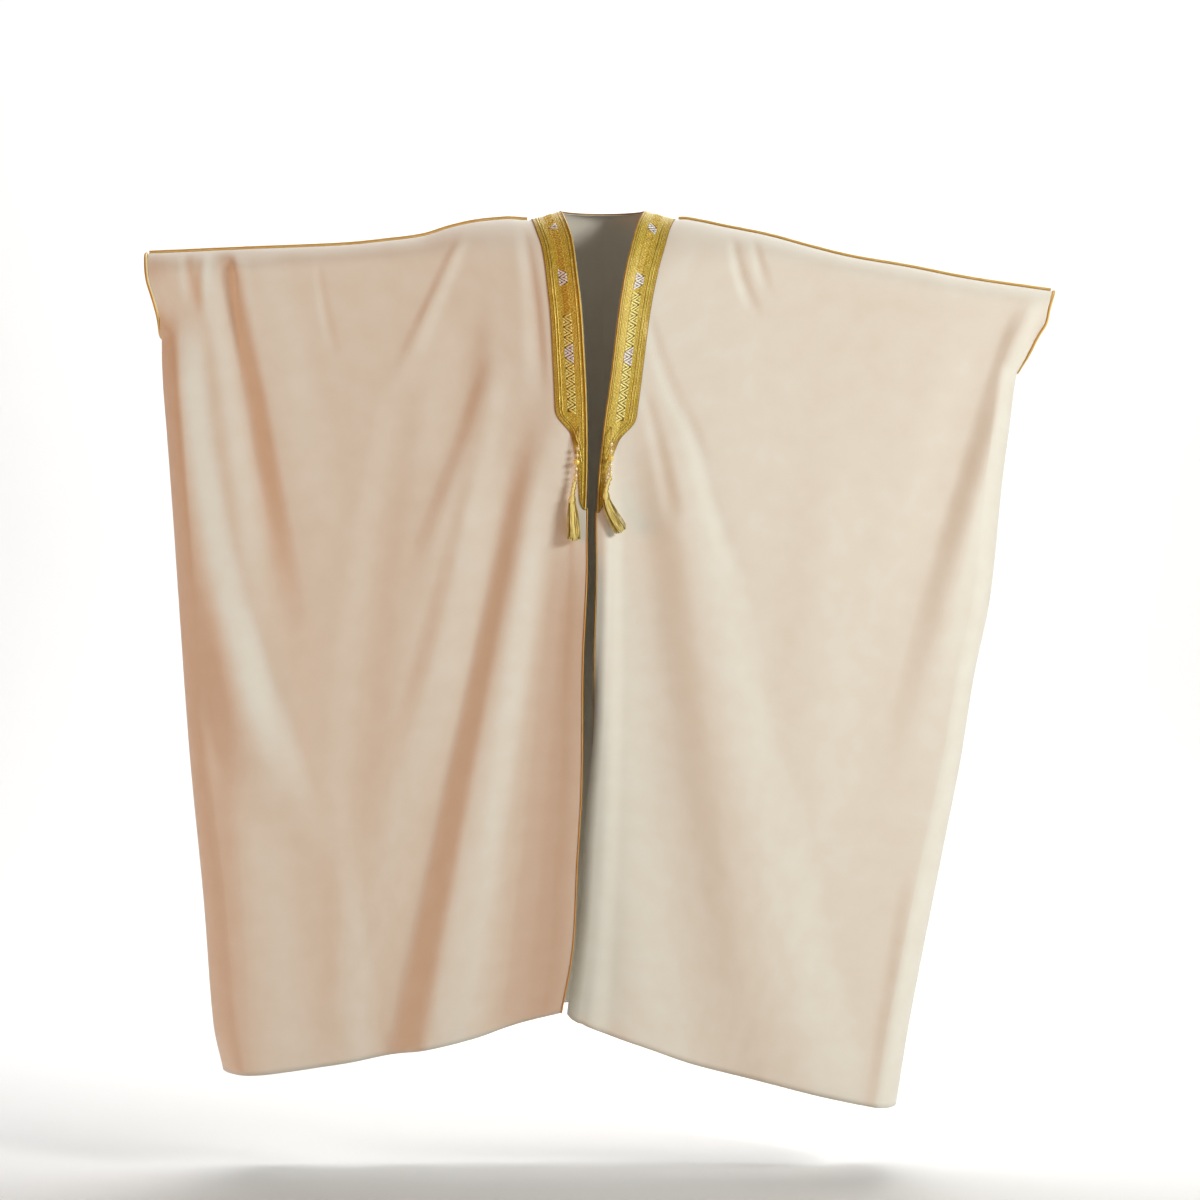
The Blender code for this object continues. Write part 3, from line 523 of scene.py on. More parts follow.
def back_half_points(half: Half, column: Array, down: Array) -> Array:
    """Points on the outside of one half of the back.

    Args:
        half: the side of the cloak.
        column: the share of the half's own columns, from the middle out.
        down: the share down of each point.

    Returns:
        One row of X, Y and Z for each point.
    """
    share = share_across(column, NECK, NECK_OUT / HALF_WIDTH, BACK_SIDE, closing_at(half, down))
    fall = share_down(half, down, BACK_DEPTHS(share)[1])
    share = leaning(share, fall)
    around = np.minimum(1.0, column / NECK)
    nape = np.cos(np.pi / 2 * around)

    def top(along: Array) -> tuple[Array, Array]:
        """The top edge: the notch for the neck, and then the shoulder seam.

        Args:
            along: the share of the half's width.

        Returns:
            Out and drop of each place.
        """
        reach = along * HALF_WIDTH
        seam = half.ridge(np.clip((reach - NECK_OUT) / (HALF_WIDTH - NECK_OUT), 0, 1))
        angle = np.pi / 2 * np.minimum(reach / NECK_OUT, 1)
        start = half.ridge(np.zeros(1))[1][0]
        notch = NECK_OUT * np.sin(angle), mix(start, NAPE_DROP, np.cos(angle))
        beyond = reach >= NECK_OUT
        return np.where(beyond, seam[0], notch[0]), np.where(beyond, seam[1], notch[1])

    def centre(way: Array) -> tuple[Array, Array]:
        """The middle line of the back."""
        return np.zeros_like(way), mix(NAPE_DROP, half.back_hem(np.zeros(1))[1][0], way)

    out, drop = coons(top, half.back_hem, centre, half.side_line, share, fall)
    depth, over, closed, opening = stand_off(half, BACK_DEPTHS, column, down, fall, BACK_SIDE)
    out = out + NECK_OUT * (around - np.sin(np.pi / 2 * around)) * over * (1 - fall)
    signed = half.side.value * out
    depth = mix(NAPE_DEPTH * nape, depth, over)
    depth = depth + fold_height(BACK_FOLDS + BACK_CREASES, signed, drop) * over * closed
    depth = mix(opening, depth, closed)
    return np.stack([signed, depth + SEAM_GAP / 2, -drop], axis=-1)


def back_points(across: Array, down: Array) -> Array:
    """Points on the outside of the back.

    Args:
        across: from -1 at the right side to 1 at the left.
        down: the share down of each point.

    Returns:
        One row of X, Y and Z for each point.
    """
    across, down = np.broadcast_arrays(np.asarray(across, float), np.asarray(down, float))
    right = back_half_points(RIGHT, np.abs(across), down)
    left = back_half_points(LEFT, np.abs(across), down)
    return np.where((across > 0)[..., None], left, right)


def with_normals(points: Callable[[Array, Array], Array], low: float, outward: float) -> Place:
    """A function that gives points of a surface and their normals.

    Args:
        points: the surface.
        low: the least share across.
        outward: 1 or -1, for the side that the normals point to.

    Returns:
        The function, of across and down.
    """

    def place(across: Array, down: Array) -> tuple[Array, Array]:
        """Points and normals at some shares.

        Args:
            across: the share across of each vertex.
            down: its share down.

        Returns:
            Points and normals.
        """
        across, down = np.broadcast_arrays(np.asarray(across, float), np.asarray(down, float))
        right = points(np.minimum(across + STEP, 1.0), down)
        left = points(np.maximum(across - STEP, low), down)
        below = points(across, np.minimum(down + STEP, 1.0))
        above = points(across, np.maximum(down - STEP, 0.0))
        normal = np.cross(right - left, below - above) * outward
        normal /= np.linalg.norm(normal, axis=-1, keepdims=True)
        return points(across, down), normal

    return place


def front_place(half: Half) -> Place:
    """Points and outward normals of a front."""
    return with_normals(lambda a, d: front_points(half, a, d), 0.0, -half.side.value)


def back_place() -> Place:
    """Points and outward normals of the back."""
    return with_normals(back_points, -1.0, 1.0)


def srgb(code: str) -> tuple[float, float, float, float]:
    """Turns a colour to linear light.

    Args:
        code: six hexadecimal digits after a hash.

    Returns:
        Red, green and blue in linear light, and an alpha of one.
    """
    values = [int(code[i : i + 2], 16) / 255 for i in (1, 3, 5)]
    linear = [v / 12.92 if v <= 0.04045 else ((v + 0.055) / 1.055) ** 2.4 for v in values]
    return (*linear, 1.0)


def add_node(tree: Tree, kind: str, settings: dict | None = None, links: dict | None = None) -> Node:
    """Adds a node.

    Args:
        tree: the material's node tree.
        kind: the node's type.
        settings: its properties, or default values by the name or number of an input.
        links: the sockets that feed its inputs, by the name or number of an input.

    Returns:
        The node.
    """
    made = tree.nodes.new(kind)
    for key, value in (settings or {}).items():
        if isinstance(key, str) and hasattr(made, key):
            setattr(made, key, value)
        else:
            made.inputs[key].default_value = value
    for key, socket in (links or {}).items():
        tree.links.new(socket, made.inputs[key])
    return made


# The length of one stripe of a wave texture whose scale is 1
WAVE_LENGTH = math.tau / 20


def own_map(tree: Tree) -> Socket:
    """The piece's own map, in metres."""
    return add_node(tree, "ShaderNodeUVMap", {"uv_map": "cloth"}).outputs[0]


def noise(tree: Tree, place: Socket, size_mm: float, detail: float, roughness: float = 0.5) -> Socket:
    """Noise with grains of a size in millimetres."""
    settings = {"Scale": 1 / (size_mm * MM), "Detail": detail, "Roughness": roughness}
    return add_node(tree, "ShaderNodeTexNoise", settings, {"Vector": place}).outputs["Fac"]


def ramp(tree: Tree, factor: Socket, *stops: tuple[float, str]) -> Socket:
    """Adds a colour ramp.

    Args:
        tree: the material's node tree.
        factor: what feeds the ramp.
        stops: a position and a colour each.

    Returns:
        The ramp's colour.
    """
    made = add_node(tree, "ShaderNodeValToRGB", links={"Fac": factor})
    elements = made.color_ramp.elements
    while len(elements) < len(stops):
        elements.new(0.5)
    for element, (position, code) in zip(elements, stops):
        element.position = position
        element.color = srgb(code)
    return made.outputs["Color"]


def bump(tree: Tree, height: Socket, strength: float, depth: float, under: Socket | None = None) -> Socket:
    """Adds relief.

    Args:
        tree: the material's node tree.
        height: what feeds the relief.
        strength: how strongly it shades.
        depth: its depth in metres.
        under: another relief that it lies on.

    Returns:
        The normal.
    """
    links = {"Height": height} if under is None else {"Height": height, "Normal": under}
    settings = {"Strength": strength, "Distance": depth}
    return add_node(tree, "ShaderNodeBump", settings, links).outputs["Normal"]


def new_material(name: str, values: dict) -> tuple[bpy.types.Material, Tree, Node]:
    """Makes a material.

    Args:
        name: the real material's name.
        values: constant values, by the name of the shader's own socket.

    Returns:
        The material, its tree and its shader.
    """
    made = bpy.data.materials.new(name)
    made.use_nodes = True
    shader = made.node_tree.nodes["Principled BSDF"]
    for socket, value in values.items():
        shader.inputs[socket].default_value = value
    return made, made.node_tree, shader


def feed(tree: Tree, shader: Node, colour: Socket, relief: Socket) -> None:
    """Gives a shader its colour and its relief."""
    tree.links.new(colour, shader.inputs["Base Color"])
    tree.links.new(relief, shader.inputs["Normal"])


@dataclass(frozen=True)
class CrepeCloth:
    """Light polyester crepe, woven with a slight satin face: soft, matt, with a faint sheen."""

    colour: str = "#E8E3D6"
    # Slightly darker tone, painted as shade in the hollows of the soft pucker relief
    shade: str = "#E5DECF"
    grain_mm: float = 1.4
    pucker_mm: float = 40.0

    def material(self) -> bpy.types.Material:
        """The cloth's material, whose grain is drawn coarser than crepe's half a millimetre."""
        matt = {"Roughness": 0.62, "Specular IOR Level": 0.32}
        sheen = {"Sheen Weight": 0.18, "Sheen Roughness": 0.45}
        made, tree, shader = new_material("cream_crepe_satin", matt | sheen)
        place = own_map(tree)
        grain = noise(tree, place, self.grain_mm, 2.0, 0.6)
        pucker = noise(tree, place, self.pucker_mm, 3.0, 0.45)
        # The pucker noise both lifts the relief and paints the cloth darker in its hollows, as painted
        # shade
        tone = ramp(tree, pucker, (0.3, self.shade), (0.7, self.colour))
        soft = bump(tree, pucker, 0.14, 0.0012)
        feed(tree, shader, tone, bump(tree, grain, 0.12, 0.0003, soft))
        return made


@dataclass(frozen=True)
class MetalThread:
    """Metal thread laid in rows and caught down by short stitches, on the piece's own map."""

    name: str
    bright: str
    middle: str
    dark: str
    metallic: float
    roughness: float = 0.42
    row_mm: float = 2.4
    stitch_mm: float = 5.0
    # Size of the bright speckle, which paints the metal's glints into its colour
    glint_mm: float = 2.6
    relief: float = 0.0006
    # Brown backing, which also serves as painted shade along the band's outer edge and in its groove
    patch: str = "#8A5A10"

    def material(self) -> bpy.types.Material:
        """The thread's material. Its rows are drawn coarser than the real 0.4 mm thread."""
        gloss = {"Metallic": self.metallic, "Roughness": self.roughness}
        made, tree, shader = new_material(self.name, gloss)
        place = own_map(tree)
        stitches = add_node(
            tree, "ShaderNodeTexBrick",
            {
                "Color1": (0.75, 0.75, 0.75, 1), "Color2": (1, 1, 1, 1), "Mortar": (0, 0, 0, 1),
                "Scale": 1 / MM, "Mortar Size": self.row_mm * 0.14, "Mortar Smooth": 0.7,
                "Brick Width": self.stitch_mm, "Row Height": self.row_mm,
            },
            {"Vector": place},
        )
        # Stitches times glint noise: its bright speckle is painted glints of the metal
        both = add_node(
            tree, "ShaderNodeMath", {"operation": "MULTIPLY"},
            {0: stitches.outputs["Color"], 1: noise(tree, place, self.glint_mm, 2.0)},
        ).outputs[0]
        tone = ramp(tree, both, (0.08, self.dark), (0.38, self.middle), (0.68, self.bright))
        # Where the brown backing shows, and where shade is painted in the same brown along the band's
        # outer edge and in its groove
        shown_backing_and_shade = add_node(tree, "ShaderNodeAttribute", {"attribute_name": "backing"}).outputs["Fac"]
        backed = {"data_type": "RGBA", 7: srgb(self.patch)}
        mixed = add_node(tree, "ShaderNodeMix", backed, {0: shown_backing_and_shade, 6: tone})
        feed(tree, shader, mixed.outputs[2], bump(tree, both, 0.9, self.relief))
        return made


@dataclass(frozen=True)
class Filament:
    """Bright filament laid side by side, as in satin stitch, twisted cord and silk.

    Its stripes are drawn coarser than the real 0.3 mm filament, which would be too fine to show.
    """

    name: str
    bright: str
    dark: str
    metallic: float
    roughness: float
    stripe_mm: float = 7.0
    relief: float = 0.0003

    def material(self) -> bpy.types.Material:
        """The filament's material, striped along the piece's own map."""
        gloss = {"Metallic": self.metallic, "Roughness": self.roughness}
        made, tree, shader = new_material(self.name, gloss)
        wave = {"Scale": WAVE_LENGTH / (self.stripe_mm * MM), "Distortion": 1.5, "Detail": 2.0}
        strands = add_node(tree, "ShaderNodeTexWave", wave, {"Vector": own_map(tree)}).outputs["Fac"]
        tone = ramp(tree, strands, (0.05, self.dark), (0.7, self.bright))
        feed(tree, shader, tone, bump(tree, strands, 0.6, self.relief))
        return made


@dataclass(frozen=True)
class Bead:
    """A glossy bead of one colour."""

    name: str
    colour: str
    metallic: float
    roughness: float

    def material(self) -> bpy.types.Material:
        """The bead's material, under a clear coat."""
        gloss = {"Metallic": self.metallic, "Roughness": self.roughness}
        coat = {"Coat Weight": 0.4, "Coat Roughness": 0.15}
        return new_material(self.name, {"Base Color": srgb(self.colour)} | gloss | coat)[0]


class Satin(Enum):
    """The thread of a chevron."""

    MUTED = "muted"
    BRIGHT = "bright"
    SILVER = "silver"


class Wardrobe:
    """Every finish of the cloak, made once."""

    def __init__(self) -> None:
        """Makes the materials."""
        self.crepe = CrepeCloth().material()
        # Gilt couching thread over a mustard ground
        self.zari = MetalThread("gilt_couching_thread", "#FBEA80", "#D6B634", "#8A6A12", 0.1).material()
        # A dark strip painted as the shade in the gaps between the raised satin bars
        self.gap_shade = MetalThread("painted_gap_shade", "#A07E14", "#785C0C", "#5A4406", 0.2).material()
        # The outer and inner cords are wound closer and look more orange
        self.cord = Filament("gilt_wound_cord", "#E6BE4C", "#94661C", 0.3, 0.4).material()
        self.ridge = Filament("gilt_ridge_cord", "#EAD772", "#9A7618", 0.55, 0.35).material()
        # Satin stitch catches the light as one smooth face
        satins = {
            Satin.MUTED: ("old_gilt_satin_stitch", "#E2C456", "#B08E26", 0.2, 0.4),
            Satin.BRIGHT: ("gilt_satin_stitch", "#FFFAA4", "#F4DC68", 0.05, 0.28),
            Satin.SILVER: ("silver_satin_stitch", "#FFFFFF", "#D6D8DC", 0.05, 0.28),
        }
        self.satin = {thread: Filament(*row, 5.73).material() for thread, row in satins.items()}
        self.braid = Filament("gilt_twisted_braid", "#F4D88C", "#CC9E4C", 0.1, 0.42, 7.64).material()
        self.piping = Filament("gilt_piping", "#D09A48", "#94601F", 0.2, 0.45, 7.64).material()
        self.silk = Filament("gold_rayon_floss", "#FFF29C", "#9A7A20", 0.1, 0.3, 10.19).material()
        self.pale_bead = Bead("champagne_pearl_bead", "#F2DCA6", 0.2, 0.15).material()
        self.gold_bead = Bead("gilt_bead", "#FADC70", 0.15, 0.22).material()


def finish_piece(made: Piece, finish: bpy.types.Material, slot: str, *nodes: str) -> Piece:
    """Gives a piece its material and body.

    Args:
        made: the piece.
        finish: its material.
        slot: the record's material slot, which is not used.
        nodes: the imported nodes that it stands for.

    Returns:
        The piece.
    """
    made.data.materials.append(finish)
    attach(made, BODY)
    if nodes:
        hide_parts(*nodes)
    LOG.info("%s: %d faces", made.name, len(made.data.polygons))
    return made


def grids(name: str, sizes: list[tuple[int, int]]) -> tuple[bpy.types.Mesh, Array, Array, Array]:
    """A mesh of separate square grids with a side of 1.

    Args:
        name: the mesh's name.
        sizes: how many faces wide and long each grid is.

    Returns:
        The mesh, and for each vertex its grid's number and its share across and down.
    """
    mesh = bmesh.new()
    mesh.loops.layers.uv.new("cloth")
    owners = []
    for number, (wide, long) in enumerate(sizes):
        bmesh.ops.create_grid(mesh, x_segments=wide, y_segments=long, size=0.5)
        owners.append(np.full((wide + 1) * (long + 1), number))
    data = bpy.data.meshes.new(name)
    mesh.to_mesh(data)
    mesh.free()
    flat = np.empty(len(data.vertices) * 3)
    data.vertices.foreach_get("co", flat)
    return data, np.concatenate(owners), flat[0::3] + 0.5, 0.5 - flat[1::3]


def corners_of(data: bpy.types.Mesh) -> Array:
    """The vertex at each corner of a mesh's faces.

    Args:
        data: the mesh.

    Returns:
        The number of each corner's vertex.
    """
    corners = np.empty(len(data.loops), dtype=np.int32)
    data.loops.foreach_get("vertex_index", corners)
    return corners


def set_skin(data: bpy.types.Mesh, points: Array, mapped: Array) -> None:
    """Gives a mesh its shape and its map.

    Args:
        data: the mesh.
        points: a point in millimetres for each vertex.
        mapped: its place on the map in metres.
    """
    data.vertices.foreach_set("co", (points * MM).ravel())
    data.uv_layers["cloth"].uv.foreach_set("vector", mapped[corners_of(data)].ravel())
    data.update()


def close_tubes(data: bpy.types.Mesh, reach: float) -> None:
    """Joins the seams of tubes, fills their ends and turns their faces outwards.

    Args:
        data: the mesh.
        reach: the distance within which vertices are joined, in metres.
    """
    mesh = bmesh.new()
    mesh.from_mesh(data)
    bmesh.ops.remove_doubles(mesh, verts=mesh.verts[:], dist=reach)
    rims = [edge for edge in mesh.edges if edge.is_boundary]
    if rims:
        bmesh.ops.holes_fill(mesh, edges=rims, sides=0)
    bmesh.ops.recalc_face_normals(mesh, faces=mesh.faces[:])
    mesh.to_mesh(data)
    mesh.free()


def add_piece(data: bpy.types.Mesh) -> Piece:
    """Puts a mesh in the scene, shaded smooth and under its own name.

    Args:
        data: the mesh.

    Returns:
        The piece.
    """
    data.shade_smooth()
    made = bpy.data.objects.new(data.name, data)
    bpy.context.scene.collection.objects.link(made)
    return made


def grid_piece(name: str, columns: int, rows: int, shape: Shape, weld: bool = False) -> Piece:
    """A piece shaped from a grid of its own columns and rows.

    Args:
        name: the piece's name.
        columns: how many faces wide the grid is.
        rows: how many faces long it is.
        shape: gives the skin at the share across and the share down of each vertex.
        weld: true where the first and last columns meet, as on a tube, whose ends are then closed.

    Returns:
        The piece.
    """
    data, _, across, down = grids(name, [(columns, rows)])
    points, outward, mapped = shape(np.round(across * columns) / columns, np.round(down * rows) / rows)
    set_skin(data, points, mapped)
    normals = np.empty(len(data.polygons) * 3)
    data.polygons.foreach_get("normal", normals)
    first_corners = corners_of(data)[::4]
    if (normals.reshape(-1, 3) * outward[first_corners]).sum() < 0:
        data.flip_normals()
    if weld:
        close_tubes(data, 0.00001)
    return add_piece(data)


def patch_piece(
    name: str, patches: list[tuple[int, int]], shape: Callable[[Array, Array, Array], Skin]
) -> Piece:
    """Many small patches joined in one piece.

    Args:
        name: the piece's name.
        patches: how many faces wide and long each patch is.
        shape: gives the skin at each vertex's patch and its place on it from -1 to 1 both ways.

    Returns:
        The piece.
    """
    data, owner, across, down = grids(name, patches)
    points, outward, mapped = shape(owner, across * 2 - 1, 1 - down * 2)
    set_skin(data, points, mapped)
    mesh = bmesh.new()
    mesh.from_mesh(data)
    wrong = [face for face in mesh.faces if face.normal.dot(Vector(outward[face.verts[0].index])) < 0]
    bmesh.ops.reverse_faces(mesh, faces=wrong)
    mesh.to_mesh(data)
    mesh.free()
    return add_piece(data)


def thicken(made: Piece, thickness: float) -> None:
    """Gives a sheet its thickness inwards.

    Args:
        made: the sheet.
        thickness: its thickness in millimetres.
    """
    solid = made.modifiers.new("thickness", "SOLIDIFY")
    solid.thickness = thickness * MM
    solid.offset = -1.0
    solid.use_even_offset = False


def run_along(points: Array) -> Array:
    """The distance from the first of a row of points to each of them."""
    return np.concatenate([[0.0], np.cumsum(np.linalg.norm(np.diff(points, axis=0), axis=1))])


def unit(vectors: Array) -> Array:
    """The same directions with a length of one."""
    return vectors / np.maximum(np.linalg.norm(vectors, axis=-1, keepdims=True), 1e-9)


@dataclass(frozen=True)
class Rope:
    """A twisted cord: its plies, the length of one turn and the depth between plies.

    It has some sides round it, and a ring of vertices at each step. Its height is its width
    times its flatness.
    """

    width: float
    plies: int
    pitch: float
    groove: float
    sides: int
    step: float = 1.0
    flatness: float = 1.0

    def laid(self, name: str, route: Array, up: Array, closed: bool = False) -> Piece:
        """The cord along a route.

        Args:
            name: the piece's name.
            route: the points of the middle line, in millimetres.
            up: the direction at each point in which height is measured.
            closed: true where the route's end meets its start.

        Returns:
            The piece.
        """
        if closed:
            route, up = np.vstack([route, route[:1]]), np.vstack([up, up[:1]])
        run = run_along(route)
        slopes = np.gradient(route, run, axis=0)
        if closed:
            slopes[0] = slopes[-1] = (slopes[0] + slopes[-1]) / 2
        line = Curve([(r, *point, *high, *slope) for r, point, high, slope in zip(run, route, up, slopes)])
        pitch = run[-1] / max(1, round(run[-1] / self.pitch))

        def shape(across: Array, down: Array) -> Skin:
            """The cord's skin.

            Args:
                across: the share across of each vertex.
                down: its share down.

            Returns:
                The skin.
            """
            at = down * run[-1]
            values = np.stack(line(at), axis=-1)
            centre, high, forward = values[:, :3], values[:, 3:6], unit(values[:, 6:9])
            aside = unit(np.cross(forward, high))
            high = np.cross(aside, forward)
            angle = across * math.tau
            swell = 1 - self.groove * (0.5 - 0.5 * np.cos(self.plies * (angle - math.tau * at / pitch)))
            wide = np.cos(angle) * swell * self.width / 2
            tall = np.sin(angle) * swell * self.width * self.flatness / 2
            skin = aside * wide[:, None] + high * tall[:, None]
            return centre + skin, skin, np.stack([across * self.width * math.pi, at], axis=-1) * MM

        return grid_piece(name, self.sides, max(8, round(run[-1] / self.step)), shape, weld=True)


@dataclass
class Panel:
    """A cut piece of the cream cloth: a front, or the back. Its flat size is in metres."""

    node: str
    place: Place
    columns: int
    flat: tuple[float, float]
    area: float
    low: float = 0.0
    rows: int = 176
    thickness: float = 0.9

    def build(self, wardrobe: Wardrobe) -> Piece:
        """Drapes the cloth.

        Args:
            wardrobe: the finishes.

        Returns:
            The panel.
        """
        shares = np.linspace(0.0, 1.0, 400)
        middle = np.full_like(shares, 0.55)
        wide = run_along(self.place(mix(self.low, 1.0, shares), middle)[0])
        long = run_along(self.place(middle, shares)[0])

        def shape(across: Array, down: Array) -> Skin:
            """The cloth's outside.

            Args:
                across: the share across of each vertex.
                down: its share down.

            Returns:
                The skin.
            """
            points, normals = self.place(mix(self.low, 1.0, across), down)
            mapped = [np.interp(across, shares, wide), np.interp(down, shares, long)]
            return points, normals, np.stack(mapped, axis=-1) * MM

        made = grid_piece(self.node + "_cloth", self.columns, self.rows, shape)
        thicken(made, self.thickness)
        return finish_piece(made, wardrobe.crepe, "cream_crepe", self.node)


BAND_WIDTH = 52.0
BAND_BASE = 0.4
BAND_FACE = 1.7


@dataclass
class BandPlan:
    """The flat plan of a band: how wide it is along its length, and where it lies.

    Inwards is the distance from the front edge, and along runs from the shoulder seam.
    """

    place: Place
    length: float
    width: Callable[[Array], Array]
    foot: float

    def face(self, inwards: Array, along: Array, lift: float = 0.0) -> tuple[Array, Array]:
        """Points on the band's face, raised by lift, and the face's normals."""
        points, normals = self.place(inwards, along)
        return points + normals * (BAND_FACE + lift), normals

    def offset_line(self, inset: float, start: float, end: float, step: float = 2.0) -> Array:
        """A line that keeps its distance from the band's outer edge.

        Args:
            inset: the distance.
            start: where it starts along the band.
            end: where it ends.
            step: the distance between its points.

        Returns:
            Inwards and along of each point.
        """
        along = np.arange(0.0, self.length, 1.0)
        edge = np.stack([self.width(along), along], axis=-1)
        tangent = unit(np.gradient(edge, axis=0))
        inner = edge + np.stack([-tangent[:, 1], tangent[:, 0]], axis=-1) * inset
        inner = inner[(inner[:, 1] >= start) & (inner[:, 1] <= end)]
        inner[:, 0] = np.maximum(inner[:, 0], 0.5)
        run = run_along(inner)
        kept = np.arange(0.0, run[-1], step)
        return np.stack([np.interp(kept, run, inner[:, i]) for i in (0, 1)], axis=-1)


def column_at(inwards: Array, width: Array) -> Array:
    """The column of a front at a distance in from its edge.

    Args:
        inwards: the distance in from the edge.
        width: how wide the front is there.

    Returns:
        The share across the columns.
    """
    share = inwards / width
    strip = EDGE_STRIP / CHEST_SPAN
    beyond = EDGE + (share - strip) / (1 - SIDE_ROUND - strip) * (SIDE_START - EDGE)
    return np.where(share < strip, share / strip * EDGE, beyond)


# Drop and width of each front band, from where its wide part ends
BAND_ROWS = {
    Side.RIGHT: (
        (343, 52), (352, 50.5), (359, 46), (366, 37.5), (373, 29.5), (381, 26), (401, 20.7),
        (426, 16.4), (455, 13.8), (480, 11), (491, 5),
    ),
    Side.LEFT: (
        (355, 52), (364, 49.5), (370, 44), (376, 36.5), (382, 30.5), (390, 27), (406, 22),
        (426, 17), (452, 13.6), (483, 11), (495, 4.5),
    ),
}


class FrontLength:
    """Distances down the front edge of one half, to and from drops and rows."""

    def __init__(self, half: Half) -> None:
        """Measures a line just inside the edge.

        Args:
            half: the side of the cloak.
        """
        self.downs = np.linspace(0.0, 1.0, 1600)
        self.runs = run_along(front_points(half, np.full_like(self.downs, EDGE / 2), self.downs))
        self.drops = -front_points(half, np.zeros_like(self.downs), self.downs)[:, 2]

    def from_drop(self, drop: float) -> float:
        """The distance along the edge at a drop."""
        return float(np.interp(drop, self.drops, self.runs))

    def row(self, along: Array) -> Array:
        """The share down the rows, a distance along the edge."""
        return np.interp(along, self.runs, self.downs)


def front_plan(half: Half) -> BandPlan:
    """The plan of the band down one front.

    Args:
        half: the side of the cloak.

    Returns:
        The plan.
    """
    length = FrontLength(half)
    rows = [(length.from_drop(drop), wide) for drop, wide in BAND_ROWS[half.side]]
    widths = Curve(rows)
    cloth = front_place(half)

    def place(inwards: Array, along: Array) -> tuple[Array, Array]:
        """Points and normals of the cloth under the band.

        Args:
            inwards: distances in from the edge.
            along: distances along the band.

        Returns:
            Points and normals.
        """
        down = length.row(along)
        span = half.side_line(down)[0] - half.front_edge(down)[0]
        return cloth(column_at(inwards, span), down)

    return BandPlan(place, rows[-1][0], lambda along: widths(along)[0], rows[0][0])


def column_near_neck(out: Array, down: Array) -> Array:
    """The columns of places near the neck.

    Args:
        out: how far out each place is.
        down: the share down of each place.

    Returns:
        The share across one half of the back.
    """
    span = (out - NECK_OUT) / (HALF_WIDTH * (1 - SIDE_ROUND) - NECK_OUT)
    beyond = NECK + span * (BACK_SIDE - NECK)
    over = np.sin(np.pi / 2 * np.minimum(1.0, down / TURN))
    low, high = np.zeros_like(out), np.ones_like(out)
    for _ in range(16):
        middle = (low + high) / 2
        short = NECK_OUT * mix(np.sin(np.pi / 2 * middle), middle, over) < out
        low, high = np.where(short, middle, low), np.where(short, high, middle)
    return np.where(out >= NECK_OUT, beyond, low * NECK)


def neck_plan() -> BandPlan:
    """The plan of the band round the back of the neck, from the right seam to the left one.

    Returns:
        The plan.
    """
    cloth = back_place()
    length = math.pi * (NECK_OUT + NAPE_DEPTH + BAND_WIDTH) / 2
    rise, fall = (float(value) for value in BACK_DEPTHS(np.array(0.05))[:2])

    def place(inwards: Array, along: Array) -> tuple[Array, Array]:
        """Points and normals of the cloth under the band.

        Args:
            inwards: distances in from the edge.
            along: distances along the band.

        Returns:
            Points and normals.
        """
        angle = math.pi * (along / length - 0.5)
        out = (NECK_OUT + inwards) * np.abs(np.sin(angle))
        reach = rise - NAPE_DEPTH * np.cos(angle)
        turn_length = math.pi / 2 * np.sqrt((reach**2 + fall**2) / 2)
        down = np.maximum(0.0, TURN * inwards * np.cos(angle) / turn_length)
        return cloth(np.copysign(column_near_neck(out, down), angle), down)

    return BandPlan(place, length, lambda along: np.full_like(along, BAND_WIDTH), length)


# Past the end of any band
NOWHERE = 1e9


@dataclass(frozen=True)
class Backing:
    """How strongly the brown backing shows up to a reach, and the distance over which it ends. The edge
    and groove marks paint shade as well, in the same brown.
    """

    strength: float
    reach: float
    soft: float

    def at(self, distance: Array) -> Array:
        """How strongly the mark shows at some distances."""
        return self.strength * smoothstep((self.reach - distance) / self.soft)


